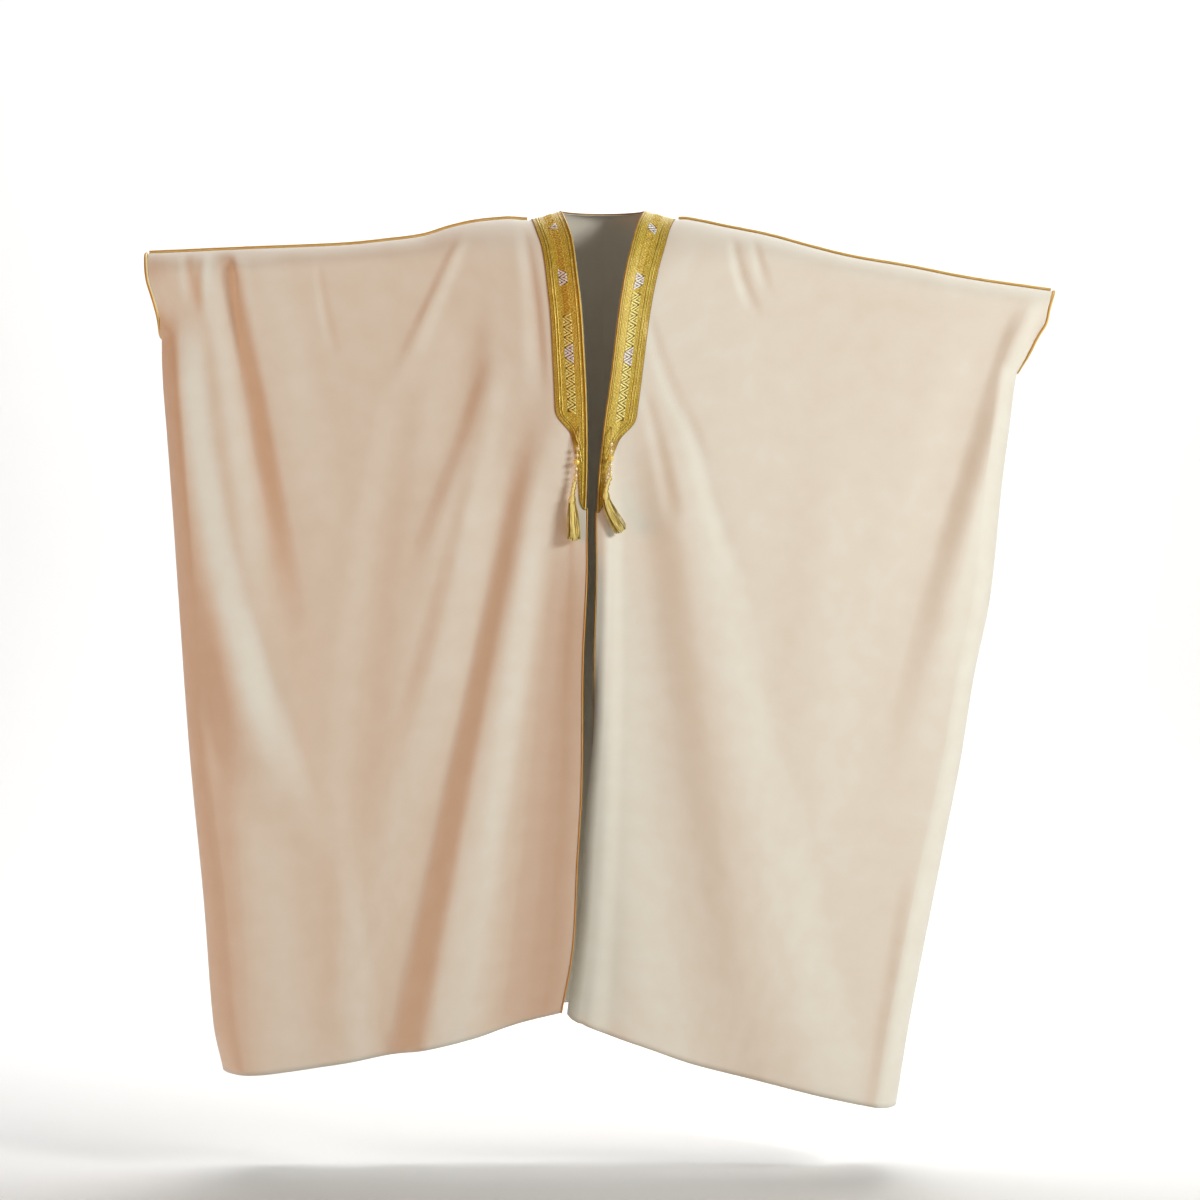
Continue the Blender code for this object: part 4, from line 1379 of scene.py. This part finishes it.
@dataclass
class GoldBand:
    """A band couched in gilt thread, with ridge cords and a column of satin chevrons.

    A chevron has bars on each leg, each from a near to a far distance in from the leg's edge.
    Silver chevrons stand within a reach of some places along the band.
    """

    name: str
    plan: BandPlan
    bright_from: float = NOWHERE
    silver_at: tuple[tuple[float, float], ...] = ()
    tail_from: float = NOWHERE
    slant: float = 0.0
    columns: int = 52
    row_mm: float = 1.4
    middle: float = 24.8
    half_width: float = 7.4
    leg: float = 8.4
    bars: tuple[tuple[float, float], ...] = ((0.8, 4.2), (5.3, 8.2))
    first_chevron: float = 8.0
    stitch_thickness: float = 0.25
    stitch_sunk: float = 0.3
    shadow_lift: float = 0.06
    rounding: float = 1.4
    cord_inwards: float = 1.5
    cord_width: float = 2.2
    cord_lift: float = 0.15
    end_clear: float = 4.0
    rib_inwards: float = 7.6
    rib_width: float = 1.5
    rib_short: float = 12.0
    outer_insets: tuple[float, ...] = (8.0, 12.2)
    outer_width: float = 1.7
    # Brown backing marks. The edge and groove marks also paint shade: a dark line along the outer edge,
    # and one in the groove between the inner cord and the inner rib
    groove_inwards: float = 3.9
    edge: Backing = Backing(0.8, 1.8, 1.2)
    margin: Backing = Backing(0.3, 7.0, 1.5)
    groove: Backing = Backing(0.9, 1.2, 0.8)
    patch: Backing = Backing(0.7, 9.5, 3.5)
    patch_length: float = 34.0

    @property
    def has_tail(self) -> bool:
        """True for a front's band, whose end shows."""
        return self.tail_from < NOWHERE

    def build(self, wardrobe: Wardrobe) -> list[Piece]:
        """Makes the band, and then what is stitched on it."""
        return [self.ground(wardrobe)] + self.cords(wardrobe) + self.chevrons(wardrobe)

    def ground(self, wardrobe: Wardrobe) -> Piece:
        """The couched ground, slightly crowned, with rounded edges.

        Args:
            wardrobe: the finishes.

        Returns:
            The piece.
        """

        def shape(across: Array, down: Array) -> Skin:
            """The face of the band.

            Args:
                across: the share across of each vertex.
                down: its share down.

            Returns:
                The skin.
            """
            along = down * self.plan.length
            width = self.plan.width(along)
            inwards = across * width
            points, normals = self.plan.place(inwards, along)
            rim = np.minimum(inwards, width - inwards)
            if self.has_tail:
                rim = np.minimum(rim, self.plan.length - along)
            rounded = np.sqrt(1 - (1 - np.clip(rim / self.rounding, 0, 1)) ** 2)
            height = BAND_BASE + (BAND_FACE - BAND_BASE) * rounded
            return points + normals * height[:, None], normals, np.stack([along, inwards], -1) * MM

        rows = round(self.plan.length / self.row_mm)
        made = grid_piece(self.name + "_ground", self.columns, rows, shape)
        self.mark_backing(made.data)
        thicken(made, BAND_BASE)
        return finish_piece(made, wardrobe.zari, "gold_zari", self.name)

    def mark_backing(self, mesh: bpy.types.Mesh) -> None:
        """Marks where the brown backing shows: the outer edge, and where the tail starts. The marks along
        the outer edge and in the groove beside the inner cord also paint shade there.

        Args:
            mesh: the ground's mesh.
        """
        found = np.empty(len(mesh.loops) * 2)
        mesh.uv_layers["cloth"].uv.foreach_get("vector", found)
        along, inwards = (found.reshape(-1, 2) / MM).T
        outer = self.plan.width(along) - inwards
        past = along - self.tail_from
        patch = smoothstep(past / 5) * smoothstep((self.patch_length - past) / 16)
        # Backing in the margin and the tail's patch; painted shade, partly backing, along the outer edge
        # and in the groove
        shown = np.max([
            self.edge.at(outer), self.margin.at(outer), patch * self.patch.at(outer),
            self.groove.at(np.abs(inwards - self.groove_inwards)),
        ], axis=0)
        values = np.zeros(len(mesh.vertices))
        values[corners_of(mesh)] = shown
        mesh.attributes.new("backing", "FLOAT", "POINT").data.foreach_set("value", values)

    def cords(self, wardrobe: Wardrobe) -> list[Piece]:
        """The wound cord by the inner edge, and the ribs beside both edges.

        Args:
            wardrobe: the finishes.

        Returns:
            The pieces.
        """
        end = self.plan.length - self.end_clear
        cord = np.arange(1.0, end, 2.0)
        rib = cord[cord < end - self.rib_short]
        lines = {
            "inner_cord": (np.stack([np.full_like(cord, self.cord_inwards), cord], -1), self.cord_width),
            "inner_rib": (np.stack([np.full_like(rib, self.rib_inwards), rib], -1), self.rib_width),
        }
        clear_of_rib = self.rib_inwards + (self.rib_width + self.outer_width) / 2 + 0.2
        for number, inset in enumerate(self.outer_insets, start=1):
            line = self.plan.offset_line(inset, 1.0, end - self.rib_short - 2.0 - inset)
            lines[f"outer_rib_{number}"] = (line[line[:, 0] > clear_of_rib], self.outer_width)
        made = []
        for name, (line, width) in lines.items():
            points, normals = self.plan.face(line[:, 0], line[:, 1], self.cord_lift)
            cord = Rope(width, 2, 3.2, 0.2, 8, 0.9, 0.9).laid(f"{self.name}_{name}", points, normals)
            finish = wardrobe.cord if name == "inner_cord" else wardrobe.ridge
            made.append(finish_piece(cord, finish, "gold_zari"))
        return made

    def chevrons(self, wardrobe: Wardrobe) -> list[Piece]:
        """The column of satin chevrons, in its three threads, and a dark strip of painted shade between
        them.

        Args:
            wardrobe: the finishes.

        Returns:
            The pieces.
        """
        first = self.first_chevron
        last = self.plan.foot - 2.0 if self.has_tail else self.plan.length - 6.0
        groups: dict[Satin, list[tuple[float, float]]] = {thread: [] for thread in Satin}
        for i in range(int((last - first) / self.leg)):
            apex = first + self.leg * (i + 0.5)
            thread = Satin.BRIGHT if apex > self.bright_from else Satin.MUTED
            if any(abs(apex - at) < reach for at, reach in self.silver_at):
                thread = Satin.SILVER
            groups[thread].append((apex, -1.0 if i % 2 else 1.0))
        made = [
            self.stitched(f"{self.name}_zigzag_{thread.value}", found, wardrobe.satin[thread])
            for thread, found in groups.items()
            if found
        ]
        # Painted shade goes behind the bright and silver chevrons
        dark = sorted(apex for apex, _ in groups[Satin.BRIGHT] + groups[Satin.SILVER])
        if dark:
            made.append(self.shadow(dark, wardrobe))
        return made

    def shadow(self, places: list[float], wardrobe: Wardrobe) -> Piece:
        """A dark strip behind some chevrons, painted as the shade in the gaps between their bars.

        Args:
            places: the chevrons' places along the band, in order.
            wardrobe: the finishes.

        Returns:
            The piece.
        """
        runs: list[list[float]] = []
        for apex in places:
            low, high = apex - self.leg / 2, apex + self.leg / 2
            if runs and low <= runs[-1][1] + 0.1:
                runs[-1][1] = high
            else:
                runs.append([low, high])

        def shape(patch: Array, x: Array, y: Array) -> Skin:
            """The strip's face.

            Args:
                patch: the number of each vertex's patch.
                x: its place across the patch, from -1 to 1.
                y: its place along the patch, from -1 to 1.

            Returns:
                The skin.
            """
            low, high = np.array(runs)[patch].T
            aside = x * (self.half_width - 0.3)
            inwards = self.middle + aside
            along = mix(low, high, (y + 1) / 2) + self.slant * aside
            points, normals = self.plan.face(inwards, along, self.shadow_lift)
            return points, normals, np.stack([inwards, along], -1) * MM

        patches = [(3, max(2, round((high - low) / 2))) for low, high in runs]
        made = patch_piece(self.name + "_zigzag_line", patches, shape)
        return finish_piece(made, wardrobe.gap_shade, "gold_zari")

    def stitched(self, name: str, found: list[tuple[float, float]], finish: bpy.types.Material) -> Piece:
        """Satin chevrons as one piece.

        Args:
            name: the piece's name.
            found: where the tip of each chevron is along the band, and the way it points.
            finish: its thread.

        Returns:
            The piece.
        """
        arms = np.array([
            (apex, way, arm, *bar) for apex, way in found for arm in (-1.0, 1.0) for bar in self.bars
        ])
        slope = 2 * self.half_width / self.leg

        def shape(patch: Array, x: Array, y: Array) -> Skin:
            """The crowned face of each bar.

            Args:
                patch: the number of each vertex's patch.
                x: its place across the patch, from -1 to 1.
                y: its place along the patch, from -1 to 1.

            Returns:
                The skin.
            """
            apex, way, arm, first, last = arms[patch].T
            near = mix(first, last, (x + 1) / 2)
            tip = self.half_width - near * slope
            reach = way * mix(-self.half_width, tip, (y + 1) / 2)
            along = apex + arm * mix(self.leg - near, 0.0, (y + 1) / 2) + self.slant * reach
            height = np.sqrt(np.clip(1 - 0.9 * x**2, 0, 1)) * np.clip(1.3 - np.abs(y) ** 6, 0, 1)
            points, normals = self.plan.face(self.middle + reach, along)
            points = points + normals * (height - self.stitch_sunk)[:, None]
            return points, normals, np.stack([(y + 1) * 8.0, near], -1) * MM

        made = patch_piece(name, [(4, 6)] * len(arms), shape)
        thicken(made, self.stitch_thickness)
        return finish_piece(made, finish, "gold_zari")


@dataclass(frozen=True)
class BandMarks:
    """Drops at which a front band's chevrons turn bright and its tail starts.

    Silver holds drops, each with its reach along the band. Slant is the chevrons' lean.
    """

    bright: float
    silver: tuple[tuple[float, float], ...]
    tail: float
    slant: float


MARKS = {
    Side.RIGHT: BandMarks(186.0, ((24.0, 7.0), (117.0, 12.6), (243.0, 12.6)), 366.0, 0.29),
    Side.LEFT: BandMarks(146.0, ((26.0, 7.0), (128.0, 12.6), (252.0, 12.6)), 374.0, 0.32),
}


def front_band(half: Half) -> GoldBand:
    """The band down one front.

    Args:
        half: the side of the cloak.

    Returns:
        The band.
    """
    length, marks = FrontLength(half), MARKS[half.side]
    return GoldBand(
        "band_" + half.side.label,
        front_plan(half),
        bright_from=length.from_drop(marks.bright),
        silver_at=tuple((length.from_drop(drop), reach) for drop, reach in marks.silver),
        tail_from=length.from_drop(marks.tail),
        slant=marks.slant,
    )


@dataclass
class Trims:
    """The braid over a shoulder seam and round a cuff, and the piping down a front edge."""

    half: Half
    braid: Rope = Rope(5.5, 3, 8.0, 0.22, 14)
    cord: Rope = Rope(2.8, 2, 4.0, 0.14, 8)
    clear: float = 0.2
    braid_from: float = BAND_WIDTH + 6.0
    braid_to: float = 0.992
    cuff_flat: float = 0.35
    piping_back: float = 0.6

    def build(self, wardrobe: Wardrobe) -> list[Piece]:
        """Makes the trims of one side.

        Args:
            wardrobe: the finishes.

        Returns:
            The pieces.
        """
        braids = {"shoulder_braid": self.shoulder(), "cuff_braid": self.cuff()}
        label = "_" + self.half.side.label
        made = []
        for name, (line, away) in braids.items():
            centre = line + away * (self.braid.width / 2 + self.clear)
            rope = self.braid.laid(name + "_rope" + label, centre, away, closed=name == "cuff_braid")
            made.append(finish_piece(rope, wardrobe.braid, "gold_braid", name + label))
        piping = self.cord.laid("piping_cord" + label, *self.piping())
        return made + [finish_piece(piping, wardrobe.piping, "gold_braid", "piping" + label)]

    def shoulder(self) -> tuple[Array, Array]:
        """The seam over the shoulder and the arm, and the way up from it.

        Returns:
            Points and directions.
        """
        first = float(column_at(np.array(self.braid_from), np.array(SEAM_SPAN)))
        across = np.linspace(first, self.braid_to, 120)
        points, normals = front_place(self.half)(across, np.zeros_like(across))
        points[:, 1] = 0.0
        normals[:, 1] = 0.0
        return points, unit(normals)

    def cuff(self) -> tuple[Array, Array]:
        """The edge of the cuff opening, and the way out from it.

        Returns:
            Points and directions.
        """
        side = self.half.side.value
        inner = 0.5 / 24
        downs = np.linspace(0.0, CUFF, 57)
        front = front_points(self.half, np.ones_like(downs), downs)
        front_in = front_points(self.half, np.full_like(downs, 1 - inner), downs)
        back = back_points(np.full_like(downs, side), downs)
        back_in = back_points(np.full_like(downs, side * (1 - inner)), downs)
        away = unit(np.vstack([front - front_in, (back - back_in)[-2:0:-1]]))
        away[:, 1] *= self.cuff_flat
        return np.vstack([front, back[-2:0:-1]]), unit(away)

    def piping(self) -> tuple[Array, Array]:
        """The piping's middle line, from the band's tail to the hem.

        Returns:
            Points and normals.
        """
        length = FrontLength(self.half)
        start = length.from_drop(BAND_ROWS[self.half.side][-1][0] - 3)
        downs = length.row(np.linspace(start, length.runs[-1], 170))
        points, normals = front_place(self.half)(np.zeros_like(downs), downs)
        below = front_points(self.half, np.zeros_like(downs), np.minimum(downs + STEP, 1))
        above = front_points(self.half, np.zeros_like(downs), downs - STEP)
        away = unit(np.cross(below - above, normals)) * self.half.side.value
        return points + away * (self.cord.width + self.clear) / 2 - normals * self.piping_back, normals


@dataclass(frozen=True)
class StringRoute:
    """The route of one tassel string, and the line on which the tassel hangs on below it.

    The string bends over the band's face, and then runs straight to its foot in equal steps.
    """

    bend: tuple[tuple[float, float, float], ...]
    foot: tuple[float, float, float]
    depth_at_top: float
    depth_at_metre: float
    end_aside: float
    lean: float
    skirt_length: float


ROUTES = {
    Side.RIGHT: StringRoute(
        (
            (-38.0, -120.04, -356.0), (-38.39, -121.76, -360.89), (-38.78, -123.6, -365.78),
            (-39.17, -125.27, -370.67), (-39.56, -126.48, -375.56), (-39.94, -127.08, -380.44),
            (-40.33, -127.58, -385.33),
        ),
        (-45.0, -133.57, -444.0),
        -88.187, -190.406, -2.0, 8.0, 67.0,
    ),
    Side.LEFT: StringRoute(
        (
            (13.5, -119.46, -356.0), (13.39, -123.77, -360.56), (13.28, -127.67, -365.11),
            (13.17, -130.67, -369.67), (13.06, -132.38, -374.22), (12.94, -132.75, -378.78),
            (12.83, -132.92, -383.33),
        ),
        (11.5, -134.97, -438.0),
        -118.544, -156.042, 20.0, 13.0, 59.0,
    ),
}

# Distance below the ring and radius of the knotted neck and the head
KNOTS = Curve([
    (0, 2.0), (3, 4.0), (7, 2.7), (11, 4.1), (15, 2.7), (19, 3.9), (22, 3.0), (26, 5.0),
    (31, 5.6), (35, 4.6), (38, 1.0),
])


@dataclass
class BeadedTassel:
    """The string that hangs from a band, with its beads, ring and tassel."""

    half: Half
    seed: int
    cord: Rope = Rope(2.0, 2, 3.4, 0.3, 12, 0.6)
    bead_pitch: float = 11.0
    small_bead: float = 6.6
    large_bead: float = 10.2
    ring_width: float = 7.6
    ring_height: float = 3.2
    ring_from_end: float = 2.5
    last_bead_from_ring: float = 6.4
    skirt_top: float = 30.0
    skirt_half_width: float = 10.7
    skirt_half_depth: float = 5.6
    neck_radius: float = 3.4
    strands: int = 230
    strand_radius: tuple[float, float] = (0.36, 0.55)
    uneven: float = 7.0
    curl: float = 1.1
    locks: int = 15
    inner_locks: float = 0.78

    def __post_init__(self) -> None:
        """Reads the route."""
        self.label = self.half.side.label
        self.route = ROUTES[self.half.side]
        straight = np.linspace(self.route.bend[-1], self.route.foot, 13)
        self.line = np.vstack([self.route.bend, straight[1:]])
        core = np.linspace(4.0, self.skirt_top + self.route.skirt_length - 14, 16)
        self.core = np.vstack([self.line, self.hang(core)])
        self.runs = run_along(self.line)

    def on_route(self, distance: float) -> tuple[Array, Array]:
        """A place on the string.

        Args:
            distance: how far along the string.

        Returns:
            The point, and the string's direction there.
        """
        point = np.array([np.interp(distance, self.runs, column) for column in self.line.T])
        ahead = np.array([np.interp(distance + 1, self.runs, column) for column in self.line.T])
        return point, unit(ahead - point)

    def hang(self, below: Array) -> Array:
        """The middle line of the tassel.

        Args:
            below: distances below the ring.

        Returns:
            One point for each distance.
        """
        drop = SEAM_GAP * 1.5 - self.line[-1, 2] + below
        share = below / (self.skirt_top + self.route.skirt_length)
        lean = self.route.lean * np.sin(np.pi * share) * (1 - share)
        aside = self.line[-1, 0] + self.route.end_aside * share**3 - lean
        depth = mix(self.route.depth_at_top, self.route.depth_at_metre, drop / 1000)
        return np.stack([aside, depth, -drop], axis=-1)

    def build(self, wardrobe: Wardrobe) -> None:
        """Makes the whole tassel.

        Args:
            wardrobe: the finishes.
        """
        up = np.tile([0.0, -1.0, 0.0], (len(self.core), 1))
        string = self.cord.laid("tassel_cord_" + self.label, self.core, up)
        finish_piece(string, wardrobe.silk, "gold_silk", "tassel_string_" + self.label)
        pieces = self.beads(wardrobe) + [self.knots(wardrobe), self.skirt(wardrobe)]

    def beads(self, wardrobe: Wardrobe) -> list[Piece]:
        """The five beads and the ring below them.

        Args:
            wardrobe: the finishes.

        Returns:
            The pieces.
        """
        ring_at = float(self.runs[-1]) - self.ring_from_end
        made = []
        widths = (self.small_bead, self.small_bead, self.large_bead, self.small_bead, self.small_bead)
        for i, wide in enumerate(widths):
            at = ring_at - self.last_bead_from_ring - (len(widths) - 1 - i) * self.bead_pitch
            large = wide == self.large_bead
            bead = self.turned(f"round_bead_{self.label}_{i + 1}", wide, wide, at, 8 if large else 0)
            finish, slot = wardrobe.pale_bead, "pale_bead"
            if large:
                finish, slot = wardrobe.gold_bead, "gold_bead"
            made.append(finish_piece(bead, finish, slot, f"bead_{self.label}_{i + 1}"))
        ring = self.turned("gilt_ring_" + self.label, self.ring_width, self.ring_height, ring_at)
        made.append(finish_piece(ring, wardrobe.gold_bead, "gold_bead", "tassel_ring_" + self.label))
        return made

    def turned(self, name: str, wide: float, tall: float, at: float, flutes: int = 0) -> Piece:
        """A bead or ring turned round its bore.

        Args:
            name: the piece's name.
            wide: its width across the string.
            tall: its size along the string.
            at: where its middle is along the string.
            flutes: how many flutes it has.

        Returns:
            The piece.
        """
        point, direction = self.on_route(at)
        bore = self.cord.width / 2 + SEAM_GAP
        inset = math.acos(bore / (wide / 2))
        angles = np.linspace(-inset, inset, 13)
        mesh = bmesh.new()
        verts = [mesh.verts.new((wide / 2 * math.cos(a), 0.0, tall / 2 * math.sin(a))) for a in angles]
        edges = [mesh.edges.new((a, b)) for a, b in zip(verts, verts[1:] + verts[:1])]
        bmesh.ops.spin(
            mesh, geom=verts + edges, axis=(0, 0, 1), cent=(0, 0, 0), angle=math.tau, steps=32,
            use_merge=True,
        )
        bmesh.ops.recalc_face_normals(mesh, faces=mesh.faces[:])
        for vert in mesh.verts:
            if flutes and math.hypot(vert.co.x, vert.co.y) > bore * 1.3:
                swell = 1 - 0.1 * (0.5 - 0.5 * math.cos(flutes * math.atan2(vert.co.y, vert.co.x)))
                vert.co.x *= swell
                vert.co.y *= swell
        turn = Vector(direction).to_track_quat("Z", "Y").to_matrix()
        bmesh.ops.rotate(mesh, verts=mesh.verts[:], cent=(0, 0, 0), matrix=turn)
        bmesh.ops.scale(mesh, verts=mesh.verts[:], vec=(MM, MM, MM))
        bmesh.ops.translate(mesh, verts=mesh.verts[:], vec=Vector(point) * MM)
        data = bpy.data.meshes.new(name)
        mesh.to_mesh(data)
        mesh.free()
        made = add_piece(data)
        data.set_sharp_from_angle(angle=math.radians(60))
        return made

    def knots(self, wardrobe: Wardrobe) -> Piece:
        """The knotted neck and the head of the tassel, of plaited floss.

        Args:
            wardrobe: the finishes.

        Returns:
            The piece.
        """

        def shape(across: Array, down: Array) -> Skin:
            """The knots, ribbed by the plait.

            Args:
                across: the share across of each vertex.
                down: its share down.

            Returns:
                The skin.
            """
            below = down * KNOTS.at[-1]
            angle = across * math.tau
            plait = np.cos(5 * angle + below * 0.9) * np.cos(5 * angle - below * 0.9)
            radius = KNOTS(below)[0] * (1 + 0.07 * plait)
            aside = np.stack([np.cos(angle), np.sin(angle), np.zeros_like(angle)], -1)
            points = self.hang(below) + aside * radius[:, None]
            return points, aside, np.stack([across * 22.0, below], -1) * MM

        made = grid_piece("tassel_knots_" + self.label, 30, 76, shape, weld=True)
        return finish_piece(made, wardrobe.silk, "gold_silk", "tassel_" + self.label)

    def skirt(self, wardrobe: Wardrobe) -> Piece:
        """The skirt of fine locks, as one piece of many thin strands.

        Args:
            wardrobe: the finishes.

        Returns:
            The piece.
        """
        rng = np.random.default_rng(self.seed)
        data, owner, across, way = grids("tassel_skirt_" + self.label, [(4, 11)] * self.strands)
        angle = across * math.tau
        share = np.sqrt(rng.uniform(0.02, 1.0, self.strands))
        turn = rng.uniform(0, math.tau, self.strands)
        lock = np.floor(turn / math.tau * self.locks)
        share *= np.where(lock % 2 > 0.5, self.inner_locks, 1.0)
        short = rng.uniform(0.0, self.uneven, self.strands) + 3 * share
        bend = rng.normal(0.0, self.curl, (self.strands, 4))
        thick = rng.uniform(*self.strand_radius, self.strands)
        end = self.skirt_top + self.route.skirt_length - short
        below = mix(self.skirt_top - 2.0, end[owner], way)
        wide = mix(self.neck_radius, self.skirt_half_width, np.sin(np.pi / 2 * way) ** 0.6)
        deep = mix(self.neck_radius, self.skirt_half_depth, way)
        wave = np.sin(way[:, None] * np.array([3.1, 5.3, 4.2, 6.0]) + turn[owner][:, None])
        aside = (wave * bend[owner]) * way[:, None]
        middle = self.hang(below)
        onward = unit(self.hang(below + 1.0) - middle)
        spread = (np.cos(turn) * share)[owner] * wide + aside[:, 0] + 0.5 * aside[:, 1]
        middle[:, 0] -= onward[:, 2] * spread
        middle[:, 2] += onward[:, 0] * spread
        middle[:, 1] += (np.sin(turn) * share)[owner] * deep + 0.5 * aside[:, 2]
        radius = thick[owner] * mix(0.75, 1.0, way)
        skin = np.stack([np.cos(angle), np.sin(angle), np.zeros_like(angle)], -1) * radius[:, None]
        set_skin(data, middle + skin, np.stack([lock[owner] * 2.3 + angle * 0.1, below], -1) * MM)
        close_tubes(data, 0.000001)
        return finish_piece(add_piece(data), wardrobe.silk, "gold_silk")


@dataclass
class Studio:
    """The camera at the photograph's angle, a pale floor and sweep, and soft light, in metres."""

    middle: tuple[float, float] = (-0.005, -0.635)
    distance: float = 5.0
    view_width: float = 1.98
    floor: float = -1.576
    paper_length: float = 16.0
    paper_width: float = 14.0
    paper_front: float = -6.0
    curve_from: float = 9.5
    curve_run: float = 3.0
    curve_radius: float = 1.91
    steepness: float = 1.6

    def camera(self) -> None:
        """The level camera in front of the cloak."""
        data = bpy.data.cameras.new("camera")
        data.sensor_width = 36.0
        data.lens = 36.0 * self.distance / self.view_width
        made = bpy.data.objects.new("camera", data)
        made.location = (self.middle[0], -self.distance, self.middle[1])
        made.rotation_euler = (math.pi / 2, 0.0, 0.0)
        bpy.context.scene.collection.objects.link(made)
        bpy.context.scene.camera = made

    def sweep(self) -> Piece:
        """The floor, which curves up into a backdrop.

        Returns:
            The piece.
        """

        def shape(across: Array, down: Array) -> Skin:
            """The paper: level, then curved, then steep.

            Args:
                across: the share across of each vertex.
                down: its share down.

            Returns:
                The skin.
            """
            run = down * self.paper_length
            curve = np.clip((run - self.curve_from) / self.curve_run, 0, 1) * math.pi / 2
            y = self.paper_front + np.minimum(run, self.curve_from) + self.curve_radius * np.sin(curve)
            z = self.curve_radius * (1 - np.cos(curve))
            z = z + np.maximum(0.0, run - self.curve_from - self.curve_run) * self.steepness
            points = np.stack([(across - 0.5) * self.paper_width, y, z + self.floor], -1) / MM
            return points, np.tile([0.0, -0.3, 1.0], (len(across), 1)), np.stack([across, down], -1)

        made = grid_piece("floor_sweep", 4, 64, shape)
        paper = {"Base Color": srgb("#F4F3F1"), "Roughness": 0.85}
        made.data.materials.append(new_material("pale_studio_paper", paper)[0])
        return made

    def light(
        self, name: str, place: Vector, power: float, size: float, colour: str, aim: Vector | None = None
    ) -> Piece:
        """A soft square light.

        Args:
            name: the light's name.
            place: where it stands.
            power: its power in watts.
            size: the length of its side.
            colour: its colour.
            aim: what it looks at, which is the cloak's middle where none is given.

        Returns:
            The light.
        """
        data = bpy.data.lights.new(name, "AREA")
        data.energy = power
        data.size = size
        data.color = srgb(colour)[:3]
        made = bpy.data.objects.new(name, data)
        made.location = place
        aim = aim or Vector((self.middle[0], 0.0, self.middle[1]))
        made.visible_camera = False
        made.rotation_euler = (aim - place).to_track_quat("-Z", "Y").to_euler()
        bpy.context.scene.collection.objects.link(made)
        return made

    def lights(self, paper: Piece) -> None:
        """A key from the right, a warm fill from the left, and a pale sky.

        Args:
            paper: the floor, which the warm fill doesn't light.
        """
        self.light("key", Vector((3.2, -2.7, 0.9)), 123.0, 1.1, "#FFFFFC")
        fill = self.light("fill", Vector((-3.8, -2.2, -0.2)), 59.0, 2.4, "#FF9C34")
        missed = bpy.data.collections.new("out_of_the_fill")
        missed.objects.link(paper)
        missed.collection_objects[0].light_linking.link_state = "EXCLUDE"
        fill.light_linking.receiver_collection = missed
        self.light("rear", Vector((0.6, 3.0, 1.8)), 44.0, 2.5, "#FFFFFF")
        self.light("backdrop", Vector((0.0, 1.4, 2.6)), 222.0, 3.0, "#FBFCFF", Vector((0.0, 5.4, -0.4)))
        world = bpy.data.worlds.new("studio")
        world.use_nodes = True
        sky = world.node_tree.nodes["Background"]
        sky.inputs["Color"].default_value = srgb("#FBF7F0")
        sky.inputs["Strength"].default_value = 0.17
        bpy.context.scene.world = world

    def tone(self) -> None:
        """Plain colour management, so that the finishes keep the colours given for them."""
        bpy.context.scene.view_settings.view_transform = "Standard"


def main() -> None:
    """Builds the cloak in order, and the studio round it."""
    logging.basicConfig(level=logging.INFO, format="%(name)s %(message)s")
    studio = Studio()
    studio.camera()
    wardrobe = Wardrobe()
    for half in (RIGHT, LEFT):
        BeadedTassel(half, seed=11 + half.side.value).build(wardrobe)

    panels = [
        Panel("front_right", front_place(RIGHT), 168, (0.75, 1.40), 1.02),
        Panel("front_left", front_place(LEFT), 168, (0.75, 1.40), 1.02),
        Panel("back", back_place(), 228, (1.50, 1.40), 2.05, low=-1.0),
    ]
    cloth = [panel.build(wardrobe) for panel in panels]
    sewn = [front_band(half).build(wardrobe) + Trims(half).build(wardrobe) for half in (RIGHT, LEFT)]
    sewn.append(GoldBand("band_neck", neck_plan()).build(wardrobe))
    studio.lights(studio.sweep())
    studio.tone()


if __name__ == "__main__":
    main()
